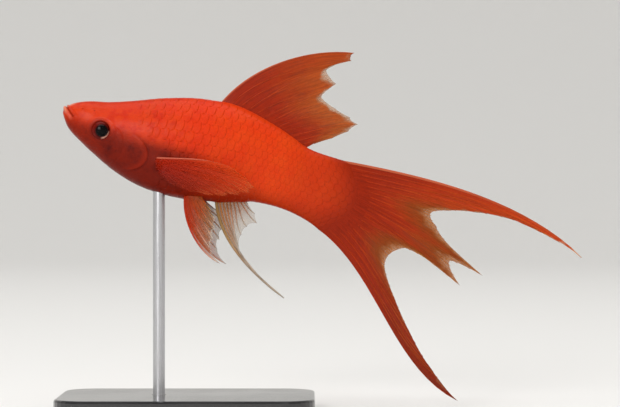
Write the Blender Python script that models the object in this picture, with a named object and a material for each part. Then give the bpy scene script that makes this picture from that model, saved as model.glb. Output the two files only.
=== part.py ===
"""A red lyretail swordtail, life size, held by a rod over a flat base.

World: +X from snout to tail, -Y the fish's left side, +Z up, origin under the middle of the base.
The fish is modelled along its own axis, with the snout at zero, and an empty pitches it head up.
Fish sizes are in millimetres here and become metres where a mesh is made.
"""
import math

import bmesh
import bpy
import numpy as np
from mathutils import Matrix, Vector
from mathutils.bvhtree import BVHTree

MM = 0.001
GAP = 0.3

# Pose of the fish and the stand, in world millimetres
PITCH_DEG = 16.5
SNOUT = (-31.0, 0.0, 75.2)
BASE_SIZE = (64.0, 42.0, 4.5)
BASE_CORNER = 8.0
BASE_EDGE = 0.6
ROD_X = -7.0
ROD_RADIUS = 1.5
ROD_TOP = 61.0
ROD_BOTTOM = 2.0

# Body outline: distance from the snout, back height, belly height, half width
OUTLINE = (
    (0.0, 0.9, 0.3, 0.0),
    (0.8, 1.9, -1.4, 2.4),
    (2.3, 3.0, -3.3, 3.3),
    (6.2, 4.6, -5.8, 4.3),
    (10.6, 5.7, -8.0, 4.9),
    (16.0, 7.6, -10.4, 5.7),
    (24.0, 10.7, -12.4, 6.4),
    (33.0, 13.1, -12.5, 6.5),
    (42.0, 13.7, -10.9, 5.8),
    (53.0, 11.4, -7.9, 4.2),
    (62.0, 8.6, -7.9, 2.7),
    (70.6, 8.2, -10.3, 1.25),
)
BODY_LENGTH = 70.6
TAIL_BASE_BULGE = 5.6
BULGE_START = 61.5
RING_POINTS = 28
HEAD_END = 24.6
TORSO_END = 61.2

# Head features
EYE_CENTRE = (10.5, -1.7)
EYE_RADIUS = 2.45
EYE_DEPTH = 1.9
EYE_SINK = 1.15
EYE_RIM_RADIUS = 2.55
EYE_RIM_SINK = 0.16
EYE_RIM = 0.34
MOUTH_FRONT = (0.6, 1.55)
MOUTH_CORNER = (3.2, -0.5)
MOUTH_HALF_WIDTH = 2.75
MOUTH_OPEN = 0.3
LIP_RADIUS = 0.44
LIP_OFFSET = 0.4
LIP_SINK = 0.2
NOSTRILS = ((4.9, 2.1), (7.9, 2.5))
NOSTRIL_RADIUS = 0.42
GILL_CENTRE = (17.4, -5.1)
GILL_RADII = (6.4, 4.6)
GILL_STEP = 0.4

# Fins: a membrane with one rib for each ray
MEMBRANE = 0.5
MARGIN_THICKNESS = 0.36
RIB_HALF_WIDTH = 0.3
RIB_HEIGHT = 0.2


def spline(x, knots, values):
    """Cubic curve through the values at the knots, with finite-difference slopes."""
    knots = np.asarray(knots, float)
    values = np.asarray(values, float)
    slope = np.gradient(values, knots)
    x = np.clip(x, knots[0], knots[-1])
    i = np.clip(np.searchsorted(knots, x, side="right") - 1, 0, len(knots) - 2)
    step = knots[i + 1] - knots[i]
    t = (x - knots[i]) / step
    rise = (3.0 - 2.0 * t) * t * t
    near = t * (1.0 - t) ** 2 * step * slope[i]
    far = t * t * (t - 1.0) * step * slope[i + 1]
    return values[i] * (1.0 - rise) + values[i + 1] * rise + near + far


def smoothstep(low, high, x):
    t = np.clip((x - low) / (high - low), 0.0, 1.0)
    return t * t * (3.0 - 2.0 * t)


def body_at(x, column):
    """Back height (1), belly height (2) or half width (3) at a distance from the snout.

    The snout is blunt, so the outline is smooth in the square root of the distance."""
    table = np.array(OUTLINE)
    return spline(np.sqrt(np.maximum(x, 0.0)), np.sqrt(table[:, 0]), table[:, column])


def body_middle(x):
    """Height of the widest point of the body's section."""
    return 0.52 * body_at(x, 1) + 0.48 * body_at(x, 2)


def squareness(x):
    """Superellipse power of the section: a flat-topped head, an oval flank, a slab-like tail base."""
    return 2.15 + 0.45 * smoothstep(12.0, 4.0, x) + 1.2 * smoothstep(60.0, 70.0, x)


def flank(x, z):
    """Half width of the body at a distance from the snout and a height."""
    middle = body_middle(x)
    reach = np.where(z > middle, body_at(x, 1) - middle, middle - body_at(x, 2))
    across = np.clip(np.abs(z - middle) / reach, 0.0, 1.0)
    power = squareness(x)
    return body_at(x, 3) * (1.0 - across ** power) ** (1.0 / power)


def tail_bulge(x, z):
    """How far the tail base bows to the rear at a height."""
    middle = body_middle(BODY_LENGTH)
    half = 0.5 * (body_at(BODY_LENGTH, 1) - body_at(BODY_LENGTH, 2))
    share = smoothstep(BULGE_START, BODY_LENGTH, x)
    return TAIL_BASE_BULGE * share * (1.0 - ((z - middle) / half) ** 2)


def body_ring(x, grow=0.0):
    """Points round the body's section at a distance from the snout, from the belly up the +Y side."""
    angle = 2.0 * math.pi * np.arange(RING_POINTS) / RING_POINTS - 0.5 * math.pi
    power = 2.0 / squareness(x)
    middle = body_middle(x)
    across = np.sign(np.cos(angle)) * np.abs(np.cos(angle)) ** power
    up = np.sign(np.sin(angle)) * np.abs(np.sin(angle)) ** power
    across[[0, RING_POINTS // 2]] = 0.0
    reach = np.where(up > 0.0, body_at(x, 1) - middle, middle - body_at(x, 2)) + grow
    z = middle + up * reach
    y = across * (body_at(x, 3) + grow)
    bowed = x + tail_bulge(x, z) + grow * smoothstep(BULGE_START, BODY_LENGTH, x)
    return np.stack([bowed, y, z], axis=1)


def new_mesh_object(name, bm, collection):
    """Object from a bmesh in millimetres, its faces turned outward."""
    bmesh.ops.recalc_face_normals(bm, faces=bm.faces)
    if bm.calc_volume(signed=True) < 0.0:
        bmesh.ops.reverse_faces(bm, faces=bm.faces)
    bmesh.ops.transform(bm, matrix=Matrix.Scale(MM, 4), verts=bm.verts)
    mesh = bpy.data.meshes.new(name)
    bm.to_mesh(mesh)
    bm.free()
    obj = bpy.data.objects.new(name, mesh)
    collection.objects.link(obj)
    return obj


def cap_ring(bm, ring):
    """Close a body ring with a strip between its left and right points."""
    count = len(ring)
    bm.faces.new((ring[0], ring[1], ring[-1]))
    for k in range(1, count // 2 - 1):
        bm.faces.new((ring[k], ring[k + 1], ring[count - k - 1], ring[count - k]))
    half = count // 2
    bm.faces.new((ring[half - 1], ring[half], ring[half + 1]))


def body_loft(stations, grow=0.0):
    """Closed bmesh through the body's rings. A first station at the snout becomes a point."""
    bm = bmesh.new()
    rings = []
    for x in stations:
        if x <= 0.0:
            tip = (-grow, 0.0, body_middle(0.0))
            rings.append([bm.verts.new(tip)])
            continue
        rings.append([bm.verts.new(p) for p in body_ring(x, grow)])
    for near, far in zip(rings, rings[1:]):
        for k in range(RING_POINTS):
            after = (k + 1) % RING_POINTS
            if len(near) == 1:
                bm.faces.new((near[0], far[after], far[k]))
            else:
                bm.faces.new((near[k], near[after], far[after], far[k]))
    for ring in (rings[0], rings[-1]):
        if len(ring) > 1:
            cap_ring(bm, ring)
    return bm


def snout_stations(end, count):
    """Distances from the snout that crowd toward it."""
    return [end * (k / count) ** 1.7 for k in range(count + 1)]


def stations(start, end, spacing):
    count = max(1, round((end - start) / spacing))
    return list(np.linspace(start, end, count + 1))


def clearance_tree():
    """Search tree on the whole body, grown by the gap that neighbours keep."""
    xs = snout_stations(HEAD_END, 16) + stations(HEAD_END, BODY_LENGTH, 2.0)[1:]
    bm = body_loft(xs, GAP)
    bmesh.ops.recalc_face_normals(bm, faces=bm.faces)
    tree = BVHTree.FromBMesh(bm)
    bm.free()
    return tree


def ellipsoid(name, centre, radii, collection, segments=16, rings=10):
    bm = bmesh.new()
    bmesh.ops.create_uvsphere(bm, u_segments=segments, v_segments=rings, radius=1.0)
    turn = Matrix.Rotation(math.pi / 2.0, 4, "X")
    matrix = Matrix.Translation(centre) @ Matrix.Diagonal((*radii, 1.0)) @ turn
    bmesh.ops.transform(bm, matrix=matrix, verts=bm.verts)
    return new_mesh_object(name, bm, collection)


def tube(name, points, radius, collection, closed=False, sides=8):
    """Round tube through the points, its radius a number or one for each point."""
    points = np.asarray(points, float)
    if closed:
        heading = np.roll(points, -1, axis=0) - np.roll(points, 1, axis=0)
    else:
        heading = np.gradient(points, axis=0)
    heading /= np.linalg.norm(heading, axis=1)[:, None]
    side = np.cross(heading, points - points.mean(axis=0))
    side /= np.linalg.norm(side, axis=1)[:, None]
    over = np.cross(side, heading)
    radii = np.broadcast_to(radius, len(points))
    turns = 2.0 * math.pi * np.arange(sides) / sides
    bm = bmesh.new()
    rings = []
    for point, a, b, reach in zip(points, side, over, radii):
        ring = point + reach * (np.outer(np.cos(turns), a) + np.outer(np.sin(turns), b))
        rings.append([bm.verts.new(p) for p in ring])
    pairs = zip(rings, rings[1:] + rings[:1]) if closed else zip(rings, rings[1:])
    for near, far in pairs:
        for k in range(sides):
            bm.faces.new((near[k], near[(k + 1) % sides], far[(k + 1) % sides], far[k]))
    if not closed:
        bm.faces.new(rings[0])
        bm.faces.new(rings[-1])
    return new_mesh_object(name, bm, collection)


def prism(name, outline, thickness, matrix, collection):
    """Flat outline of (x, y) points, thickened evenly both ways and placed by the matrix."""
    bm = bmesh.new()
    face = bm.faces.new([bm.verts.new((x, y, -0.5 * thickness)) for x, y in outline])
    extruded = bmesh.ops.extrude_face_region(bm, geom=[face])
    top = [item for item in extruded["geom"] if isinstance(item, bmesh.types.BMVert)]
    bmesh.ops.translate(bm, vec=(0.0, 0.0, thickness), verts=top)
    bmesh.ops.transform(bm, matrix=matrix, verts=bm.verts)
    return new_mesh_object(name, bm, collection)


def keep_largest(bm):
    """Drop every closed surface but the largest."""
    left = set(bm.verts)
    islands = []
    while left:
        seed = left.pop()
        island = {seed}
        queue = [seed]
        while queue:
            for edge in queue.pop().link_edges:
                for vert in edge.verts:
                    if vert in left:
                        left.discard(vert)
                        island.add(vert)
                        queue.append(vert)
        islands.append(island)
    islands.sort(key=len)
    scraps = [vert for island in islands[:-1] for vert in island]
    bmesh.ops.delete(bm, geom=scraps, context="VERTS")


def combine(obj, collection, operation):
    """Apply one Boolean with a collection of closed meshes and remove them."""
    modifier = obj.modifiers.new(operation.title(), "BOOLEAN")
    modifier.operation = operation
    modifier.operand_type = "COLLECTION"
    modifier.collection = collection
    modifier.solver = "EXACT"
    graph = bpy.context.evaluated_depsgraph_get()
    mesh = bpy.data.meshes.new_from_object(obj.evaluated_get(graph))
    obj.modifiers.clear()
    obj.data = mesh
    for piece in list(collection.objects):
        bpy.data.objects.remove(piece)
    bm = bmesh.new()
    bm.from_mesh(mesh)
    bmesh.ops.remove_doubles(bm, verts=bm.verts, dist=2e-6)
    bmesh.ops.dissolve_degenerate(bm, edges=bm.edges, dist=2e-6)
    keep_largest(bm)
    bmesh.ops.triangulate(bm, faces=bm.faces)
    bm.to_mesh(mesh)
    bm.free()


def lip_path(offset):
    """Points along a lip from corner to corner: the mouth plane's edge on the head, moved across it."""
    angle = np.linspace(-1.0, 1.0, 17) * 0.5 * math.pi
    back = 1.0 - np.cos(angle)
    front, corner = np.array(MOUTH_FRONT), np.array(MOUTH_CORNER)
    line = front + back[:, None] * (corner - front)
    down = (corner - front) / np.linalg.norm(corner - front)
    moved = line + offset * np.array([-down[1], down[0]]) * (0.55 + 0.45 * np.cos(angle))[:, None]
    inward = LIP_SINK * (1.0 + np.sin(angle) ** 2)
    y = (flank(line[:, 0], line[:, 1]) - inward) * np.sign(angle)
    return np.stack([moved[:, 0] + LIP_SINK * np.cos(angle), y, moved[:, 1]], axis=1)


def make_lips(collection):
    taper = 0.6 + 0.4 * np.cos(np.linspace(-0.5 * math.pi, 0.5 * math.pi, 17))
    tube("lower_lip", lip_path(-LIP_OFFSET), 1.1 * LIP_RADIUS * taper, collection)
    tube("upper_lip", lip_path(LIP_OFFSET), 0.9 * LIP_RADIUS * taper, collection)


def make_eye_rim(side, collection):
    turn = 2.0 * math.pi * np.arange(24) / 24
    x = EYE_CENTRE[0] + EYE_RIM_RADIUS * np.cos(turn)
    z = EYE_CENTRE[1] + EYE_RIM_RADIUS * np.sin(turn)
    points = np.stack([x, side * (flank(x, z) - EYE_RIM_SINK), z], axis=1)
    tube("eye_rim", points, EYE_RIM, collection, closed=True)


def make_gill_cover(side, collection):
    """Raised plate over the gills: flush in front, a free step along its rear edge."""
    bm = bmesh.new()
    spokes, rings = 24, 4
    layers = []
    for depth in (-0.9, None):
        rows = []
        for ring in range(rings + 1):
            row = []
            for spoke in range(spokes):
                angle = 2.0 * math.pi * spoke / spokes
                share = ring / rings
                x = GILL_CENTRE[0] + share * GILL_RADII[0] * math.cos(angle)
                z = GILL_CENTRE[1] + share * GILL_RADII[1] * math.sin(angle)
                step = -0.25 + (GILL_STEP + 0.25) * smoothstep(-1.0, 0.5, share * math.cos(angle))
                out = flank(x, z) + (step if depth is None else depth)
                row.append(bm.verts.new((x, side * out, z)))
                if ring == 0:
                    break
            rows.append(row)
        for near, far in zip(rows, rows[1:]):
            for k in range(spokes):
                after = (k + 1) % spokes
                if len(near) == 1:
                    bm.faces.new((near[0], far[k], far[after]))
                else:
                    bm.faces.new((near[k], far[k], far[after], near[after]))
        layers.append(rows[-1])
    for k in range(spokes):
        after = (k + 1) % spokes
        bm.faces.new((layers[0][k], layers[0][after], layers[1][after], layers[1][k]))
    return new_mesh_object("gill_cover", bm, collection)


def eye_place(side):
    x, z = EYE_CENTRE
    return Vector((x, side * (flank(x, z) - EYE_SINK), z))


def make_head(parts, pieces):
    """Head with lips, gill covers and eye rims, opened at the mouth, eyes and nostrils."""
    head = new_mesh_object("head", body_loft(snout_stations(HEAD_END, 20)), parts)
    make_lips(pieces)
    for side in (-1.0, 1.0):
        make_gill_cover(side, pieces)
        make_eye_rim(side, pieces)
    combine(head, pieces, "UNION")

    slope = math.atan2(MOUTH_CORNER[1] - MOUTH_FRONT[1], MOUTH_CORNER[0] - MOUTH_FRONT[0])
    reach = math.hypot(MOUTH_CORNER[0] - MOUTH_FRONT[0], MOUTH_CORNER[1] - MOUTH_FRONT[1]) + 1.5
    arc = np.linspace(-0.5 * math.pi, 0.5 * math.pi, 17)
    outline = [(-reach * math.cos(a), (MOUTH_HALF_WIDTH + 0.6) * math.sin(a)) for a in arc]
    place = Matrix.Translation((MOUTH_CORNER[0], 0.0, MOUTH_CORNER[1]))
    place = place @ Matrix.Rotation(-slope, 4, "Y")
    prism("mouth_cut", outline, MOUTH_OPEN, place, pieces)
    for side in (-1.0, 1.0):
        centre = eye_place(side)
        socket = EYE_RADIUS + GAP
        ellipsoid("socket", centre, (socket, EYE_DEPTH + GAP, socket), pieces, 20, 12)
        for x, z in NOSTRILS:
            spot = (x, side * flank(x, z), z)
            ellipsoid("nostril", spot, (NOSTRIL_RADIUS,) * 3, pieces, 8, 6)
    combine(head, pieces, "DIFFERENCE")
    return head


def make_eye(side, name, parts):
    radii = (EYE_RADIUS, EYE_DEPTH, EYE_RADIUS)
    return ellipsoid(name, eye_place(side), radii, parts, 20, 12)


def bezier(u, start, end, start_angle, end_angle):
    """Points on curves in the (x, z) plane with given end directions in degrees."""
    span = np.linalg.norm(end - start, axis=-1)[..., None] / 3.0
    first = np.stack([np.cos(np.radians(start_angle)), np.sin(np.radians(start_angle))], axis=-1)
    last = np.stack([np.cos(np.radians(end_angle)), np.sin(np.radians(end_angle))], axis=-1)
    u = u[..., None]
    a, b = start + span * first, end - span * last
    return (1 - u) ** 3 * start + 3 * (1 - u) ** 2 * u * a + 3 * (1 - u) * u * u * b + u ** 3 * end


def fin_points(fin, u, w):
    """Middle surface of a fin: u runs from root to margin, w from the first ray to the last."""
    knots = np.array(fin["margin"])
    end = np.stack([np.interp(w, knots[:, 0], knots[:, k]) for k in (1, 2)], axis=-1)
    angles = [np.interp(w, *np.array(fin[key]).T) for key in ("root_angles", "tip_angles")]
    plane = bezier(u, fin["root"](w), end, *angles)
    y = fin["side"](u, w)
    return np.stack([plane[..., 0], y, plane[..., 1]], axis=-1)


def root_shares(fin, rays, tree):
    """Share of each ray's length at which it leaves the body, found from the margin inward."""
    u = np.linspace(1.0, 0.0, 120)
    shares = np.zeros(len(rays))
    for j, w in enumerate(rays):
        path = fin_points(fin, u, np.full_like(u, w))
        for i in range(len(u) - 1):
            start, step = Vector(path[i]), Vector(path[i + 1] - path[i])
            hit, _, _, distance = tree.ray_cast(start, step.normalized(), step.length)
            if hit is not None:
                shares[j] = u[i] + (u[i + 1] - u[i]) * distance / step.length
                break
    return shares


def rib_columns(fin, rays, u, shares):
    """Columns of a fin: the crest of each ray's rib and its two feet, an even distance away."""
    step = 1e-3
    columns, crests = [], []
    for k, ray in enumerate(rays):
        w = np.full_like(u, ray)
        start = shares[k] + (1.0 - shares[k]) * u
        over = fin_points(fin, start, np.clip(w + step, 0.0, 1.0))
        over -= fin_points(fin, start, np.clip(w - step, 0.0, 1.0))
        along = np.gradient(fin_points(fin, start, w), axis=0)
        along /= np.linalg.norm(along, axis=1)[:, None]
        width = np.linalg.norm(np.cross(over, along), axis=1)
        width /= np.clip(w + step, 0.0, 1.0) - np.clip(w - step, 0.0, 1.0)
        before = ray - rays[k - 1] if k > 0 else 0.0
        after = rays[k + 1] - ray if k < len(rays) - 1 else 0.0
        for side, room in ((-1.0, before), (0.0, 1.0), (1.0, after)):
            if room > 0.0:
                foot = np.minimum(RIB_HALF_WIDTH / width, 0.36 * room)
                columns.append(w + side * foot)
                crests.append(side == 0.0)
    return np.stack(columns, axis=1), np.array(crests)


def fin_half_thickness(fin, u, length, crests):
    """Half the thickness: a fleshy root, an even membrane with raised ribs and a thin margin."""
    along = u * length
    flare = (fin["root_thickness"] - MEMBRANE) * np.exp(-(along / fin["root_reach"]) ** 2)
    thin = (MEMBRANE - MARGIN_THICKNESS) * smoothstep(0.7, 1.0, u)
    fade = smoothstep(0.0, 0.1, u) * (1.0 - 0.75 * smoothstep(0.3, 1.0, u))
    rib = 2.0 * RIB_HEIGHT * crests * fade
    return 0.5 * (MEMBRANE + flare - thin + rib)


def seat_root(face, tree, slack):
    """Move the first row of a fin's face along its columns on to the body's clearance surface."""
    for j in range(face.shape[1]):
        outer, inner = Vector(face[1, j]), Vector(face[0, j])
        reach = (inner - outer).length + slack
        hit = tree.ray_cast(outer, (inner - outer).normalized(), reach)[0]
        if hit is not None:
            face[0, j] = hit


def sheet_faces(bm, sheet, short):
    """Triangles of one side of a fin, split along the shorter diagonal of the middle surface."""
    for i in range(len(sheet) - 1):
        for j in range(len(sheet[0]) - 1):
            a, b = sheet[i][j], sheet[i + 1][j]
            c, d = sheet[i + 1][j + 1], sheet[i][j + 1]
            if short[i, j]:
                bm.faces.new((a, b, c))
                bm.faces.new((a, c, d))
            else:
                bm.faces.new((a, b, d))
                bm.faces.new((b, c, d))


def make_fin(name, fin, tree, parts):
    """Fin solid: its middle surface thickened along the normal, its root seated on the body."""
    rays = np.array([knot[0] for knot in fin["margin"]])
    rows = np.linspace(0.0, 1.0, fin["rows"]) ** 1.2
    shares = root_shares(fin, rays, tree)
    w, crests = rib_columns(fin, rays, rows, shares)
    u = rows[:, None] + 0.0 * w
    share = np.interp(w, rays, shares)
    grid = fin_points(fin, share + (1.0 - share) * u, w)
    normal = np.cross(np.gradient(grid, axis=0), np.gradient(grid, axis=1))
    normal /= np.linalg.norm(normal, axis=-1)[..., None]
    length = np.linalg.norm(grid[-1] - grid[0], axis=-1)[None, :]
    half = fin_half_thickness(fin, u, length, crests[None, :])[..., None]
    faces = [grid + half * normal, grid - half * normal]
    for face in faces:
        seat_root(face, tree, fin["slack"])

    bm = bmesh.new()
    sheets = [[[bm.verts.new(p) for p in row] for row in face] for face in faces]
    falling = np.linalg.norm(grid[1:, 1:] - grid[:-1, :-1], axis=-1)
    rising = np.linalg.norm(grid[1:, :-1] - grid[:-1, 1:], axis=-1)
    for sheet in sheets:
        sheet_faces(bm, sheet, falling < rising)
    last, end = grid.shape[0] - 1, grid.shape[1] - 1
    rim = [(0, j) for j in range(end)] + [(i, end) for i in range(last)]
    rim += [(last, j) for j in range(end, 0, -1)] + [(i, 0) for i in range(last, 0, -1)]
    for here, after in zip(rim, rim[1:] + rim[:1]):
        a, b = sheets[0][here[0]][here[1]], sheets[0][after[0]][after[1]]
        c, d = sheets[1][after[0]][after[1]], sheets[1][here[0]][here[1]]
        bm.faces.new((a, b, c))
        bm.faces.new((a, c, d))
    return new_mesh_object(name, bm, parts)


def root_along(start, end, column, sink):
    """Root line of a fin on the back (column 1) or the belly (column 2), sunk into the body."""
    def place(w):
        x = start + (end - start) * w
        return np.stack([x, body_at(x, column) + sink], axis=-1)
    return place


def caudal_root(w):
    top, bottom = body_at(BODY_LENGTH, 1), body_at(BODY_LENGTH, 2)
    z = top + (bottom - top) * (0.015 + 0.97 * w)
    return np.stack([BODY_LENGTH + tail_bulge(BODY_LENGTH, z) - 0.6, z], axis=-1)


DORSAL_FIN = {
    "root": root_along(37.3, 60.2, 1, -0.5),
    "margin": (
        (0.00, 65.6, 34.9), (0.10, 64.4, 32.9), (0.20, 62.2, 31.0), (0.29, 60.1, 28.7),
        (0.38, 63.5, 26.2), (0.47, 61.3, 23.2), (0.55, 61.3, 21.6), (0.64, 65.0, 20.2),
        (0.73, 69.2, 19.1), (0.81, 71.6, 18.0), (0.88, 69.8, 15.6), (0.94, 66.4, 12.8),
        (1.00, 62.6, 10.3),
    ),
    "root_angles": ((0.0, 68.0), (0.2, 60.0), (0.5, 45.0), (0.8, 32.0), (1.0, 16.0)),
    "tip_angles": ((0.0, 11.0), (0.2, 35.0), (0.4, 36.0), (0.6, 30.0), (0.8, 18.0), (1.0, 6.0)),
    "side": lambda u, w: 1.6 * u ** 2 * (1.0 - 0.6 * w),
    "root_thickness": 1.5,
    "slack": 1.2,
    "root_reach": 2.5,
    "rows": 10,
}

ANAL_FIN = {
    "root": root_along(43.0, 49.6, 2, 0.5),
    "margin": (
        (0.00, 66.2, -28.9), (0.12, 59.5, -25.9), (0.24, 55.9, -24.2), (0.36, 53.2, -22.0),
        (0.48, 51.7, -19.8), (0.60, 51.5, -16.8), (0.70, 52.2, -14.5), (0.80, 54.4, -12.9),
        (0.90, 53.2, -10.8), (1.00, 51.0, -9.0),
    ),
    "root_angles": ((0.0, -72.0), (0.5, -62.0), (0.8, -38.0), (1.0, -20.0)),
    "tip_angles": ((0.0, -21.0), (0.3, -42.0), (0.5, -50.0), (0.8, -20.0), (1.0, -10.0)),
    "side": lambda u, w: -1.4 * u ** 2 * (1.0 - w),
    "root_thickness": 1.3,
    "slack": 1.2,
    "root_reach": 2.0,
    "rows": 10,
}

CAUDAL_FIN = {
    "root": caudal_root,
    "margin": (
        (0.00, 135.0, 1.9), (0.06, 127.6, 4.2), (0.12, 117.3, 6.1), (0.18, 106.6, 5.3),
        (0.24, 99.5, 3.7), (0.30, 95.6, 2.2), (0.35, 97.7, -0.9), (0.40, 102.5, -4.8),
        (0.44, 112.3, -9.5), (0.48, 103.3, -8.2), (0.53, 107.5, -13.5), (0.57, 97.5, -9.4),
        (0.62, 91.7, -8.3), (0.68, 88.6, -10.6), (0.74, 88.0, -14.2), (0.81, 92.6, -21.0),
        (0.88, 99.2, -28.7), (0.94, 106.5, -35.4), (1.00, 114.9, -41.1),
    ),
    "root_angles": ((0.0, 6.0), (0.3, 1.0), (0.44, -10.0), (0.55, -16.0), (0.68, -28.0), (1.0, -25.0)),
    "tip_angles": ((0.0, -27.0), (0.12, -8.0), (0.3, -3.0), (0.4, -18.0), (0.48, -24.0),
                   (0.53, -29.0), (0.62, -18.0), (0.74, -38.0), (0.88, -38.0), (1.0, -10.0)),
    "side": lambda u, w: u ** 2 * (3.2 - 5.4 * w),
    "root_thickness": 1.9,
    "root_reach": 5.0,
    "slack": 0.3,
    "rows": 13,
}


def pelvic_fin(side):
    """Pelvic fin data for one side, the right one swept a little further back."""
    sweep = 0.0 if side < 0.0 else 1.3
    knots = (
        (0.0, 48.4, -25.0), (0.2, 45.4, -22.3), (0.4, 45.1, -19.6),
        (0.6, 44.9, -17.1), (0.8, 44.3, -14.8), (1.0, 42.6, -12.9),
    )
    return {
        "root": root_along(35.3, 39.3, 2, 0.9),
        "margin": tuple((w, x + sweep, z) for w, x, z in knots),
        "root_angles": ((0.0, -80.0), (0.5, -62.0), (1.0, -38.0)),
        "tip_angles": ((0.0, -10.0), (0.3, -46.0), (1.0, -22.0)),
        "side": lambda u, w: side * (1.9 + 2.4 * u + 0.5 * w),
        "root_thickness": 1.3,
        "slack": 1.2,
        "root_reach": 2.0,
        "rows": 8,
    }


def pectoral_fin(side):
    """Pectoral fin data for one side: a paddle laid back along the flank."""
    def root(w):
        return np.stack([25.9 + 1.2 * w, -4.4 - 2.9 * w], axis=-1)

    def beside(u, w):
        seat = root(w)
        stand_off = 2.2 * (1.0 - np.exp(-u / 0.06)) + 1.3 * u
        return side * (flank(seat[..., 0], seat[..., 1]) - 0.5 + stand_off)

    return {
        "root": root,
        "margin": (
            (0.00, 45.6, -1.6), (0.12, 49.4, -3.0), (0.25, 51.7, -4.7), (0.38, 50.6, -6.2),
            (0.50, 48.2, -7.6), (0.63, 45.2, -8.7), (0.76, 41.2, -9.6), (0.88, 36.6, -10.0),
            (1.00, 31.6, -9.6),
        ),
        "root_angles": ((0.0, 12.0), (0.5, 0.0), (1.0, -18.0)),
        "tip_angles": ((0.0, -12.0), (0.25, -24.0), (0.6, -16.0), (1.0, -12.0)),
        "side": beside,
        "root_thickness": 1.2,
        "slack": 2.5,
        "root_reach": 2.5,
        "rows": 9,
    }


def rounded_rectangle(length, width, corner, steps=8):
    points = []
    for sx, sy, start in ((1, 1, 0.0), (-1, 1, 0.5), (-1, -1, 1.0), (1, -1, 1.5)):
        for k in range(steps + 1):
            angle = math.pi * (start + 0.5 * k / steps)
            x = sx * (0.5 * length - corner) + corner * math.cos(angle)
            y = sy * (0.5 * width - corner) + corner * math.sin(angle)
            points.append((x, y))
    return points


def vertical_rod(name, radius, bottom, top, collection, sides=20):
    bm = bmesh.new()
    height = top - bottom
    place = Matrix.Translation((ROD_X, 0.0, bottom + 0.5 * height))
    bmesh.ops.create_cone(
        bm, cap_ends=True, segments=sides, radius1=radius, radius2=radius, depth=height, matrix=place
    )
    return new_mesh_object(name, bm, collection)


def make_base(parts):
    """Flat base with a bevelled top edge."""
    length, width, height = BASE_SIZE
    outline = rounded_rectangle(length, width, BASE_CORNER)
    place = Matrix.Translation((0.0, 0.0, 0.5 * height))
    base = prism("stand_base", outline, height, place, parts)
    bm = bmesh.new()
    bm.from_mesh(base.data)
    top = [edge for edge in bm.edges if all(v.co.z > 0.9 * height * MM for v in edge.verts)]
    bmesh.ops.bevel(bm, geom=top, offset=BASE_EDGE * MM, segments=2, profile=0.5, affect="EDGES")
    bm.to_mesh(base.data)
    bm.free()
    return base


def new_material(name, color, roughness, metallic=0.0):
    material = bpy.data.materials.new(name)
    material.use_nodes = True
    shader = material.node_tree.nodes["Principled BSDF"]
    shader.inputs["Base Color"].default_value = (*color, 1.0)
    shader.inputs["Roughness"].default_value = roughness
    shader.inputs["Metallic"].default_value = metallic
    return material


LOOKS = {
    "head": ((0.36, 0.02, 0.012), 0.42),
    "torso": ((0.72, 0.055, 0.02), 0.38),
    "tail_peduncle": ((0.74, 0.06, 0.022), 0.38),
    "eye": ((0.02, 0.01, 0.01), 0.08),
    "dorsal_fin": ((0.55, 0.07, 0.02), 0.4),
    "anal_fin": ((0.6, 0.3, 0.16), 0.4),
    "caudal_fin": ((0.66, 0.1, 0.03), 0.4),
    "pelvic_fin": ((0.55, 0.12, 0.03), 0.4),
    "pectoral_fin": ((0.7, 0.2, 0.1), 0.4),
    "stand_base": ((0.02, 0.02, 0.022), 0.35),
    "stand_rod": ((0.6, 0.6, 0.62), 0.25, 1.0),
}


def paint(parts):
    for obj in parts.objects:
        name = obj.name.replace("_left", "").replace("_right", "")
        obj.data.materials.append(new_material(obj.name, *LOOKS[name]))
        obj.data.shade_smooth()
        obj.data.set_sharp_from_angle(angle=math.radians(40.0))


def new_collection(name):
    collection = bpy.data.collections.new(name)
    bpy.context.scene.collection.children.link(collection)
    return collection


def main():
    for obj in list(bpy.data.objects):
        bpy.data.objects.remove(obj)
    parts = new_collection("swordtail")
    pieces = new_collection("cutters")
    tree = clearance_tree()

    fish = [make_head(parts, pieces)]
    torso = new_mesh_object("torso", body_loft(stations(HEAD_END + GAP, TORSO_END, 2.6)), parts)
    rear = body_loft(stations(TORSO_END + GAP, BODY_LENGTH, 1.5))
    fish += [torso, new_mesh_object("tail_peduncle", rear, parts)]
    fish.append(make_fin("dorsal_fin", DORSAL_FIN, tree, parts))
    fish.append(make_fin("anal_fin", ANAL_FIN, tree, parts))
    fish.append(make_fin("caudal_fin", CAUDAL_FIN, tree, parts))
    for side, label in ((-1.0, "left"), (1.0, "right")):
        fish.append(make_eye(side, f"eye_{label}", parts))
        fish.append(make_fin(f"pelvic_fin_{label}", pelvic_fin(side), tree, parts))
        fish.append(make_fin(f"pectoral_fin_{label}", pectoral_fin(side), tree, parts))

    pose = bpy.data.objects.new("fish_pose", None)
    parts.objects.link(pose)
    pose.location = Vector(SNOUT) * MM
    pose.rotation_euler = (0.0, math.radians(PITCH_DEG), 0.0)
    for obj in fish:
        obj.parent = pose
    bpy.context.view_layer.update()

    base = make_base(parts)
    vertical_rod("stand_rod", ROD_RADIUS, ROD_BOTTOM, ROD_TOP, parts)
    for carrier in (torso, base):
        vertical_rod("rod_hole", ROD_RADIUS + GAP, ROD_BOTTOM - GAP, ROD_TOP + GAP, pieces)
        combine(carrier, pieces, "DIFFERENCE")
    parts.objects.unlink(pose)
    bpy.context.scene.collection.objects.link(pose)
    paint(parts)


if __name__ == "__main__":
    main()
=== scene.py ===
"""Red lyretail swordtail, life size, on a display stand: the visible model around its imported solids.

World: metres, +X from snout to tail, -Y the fish's left side, +Z up. Fish shapes are worked out in
millimetres along the fish's own axis, with the snout at zero, and are then pitched head up.
"""
import math

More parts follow.
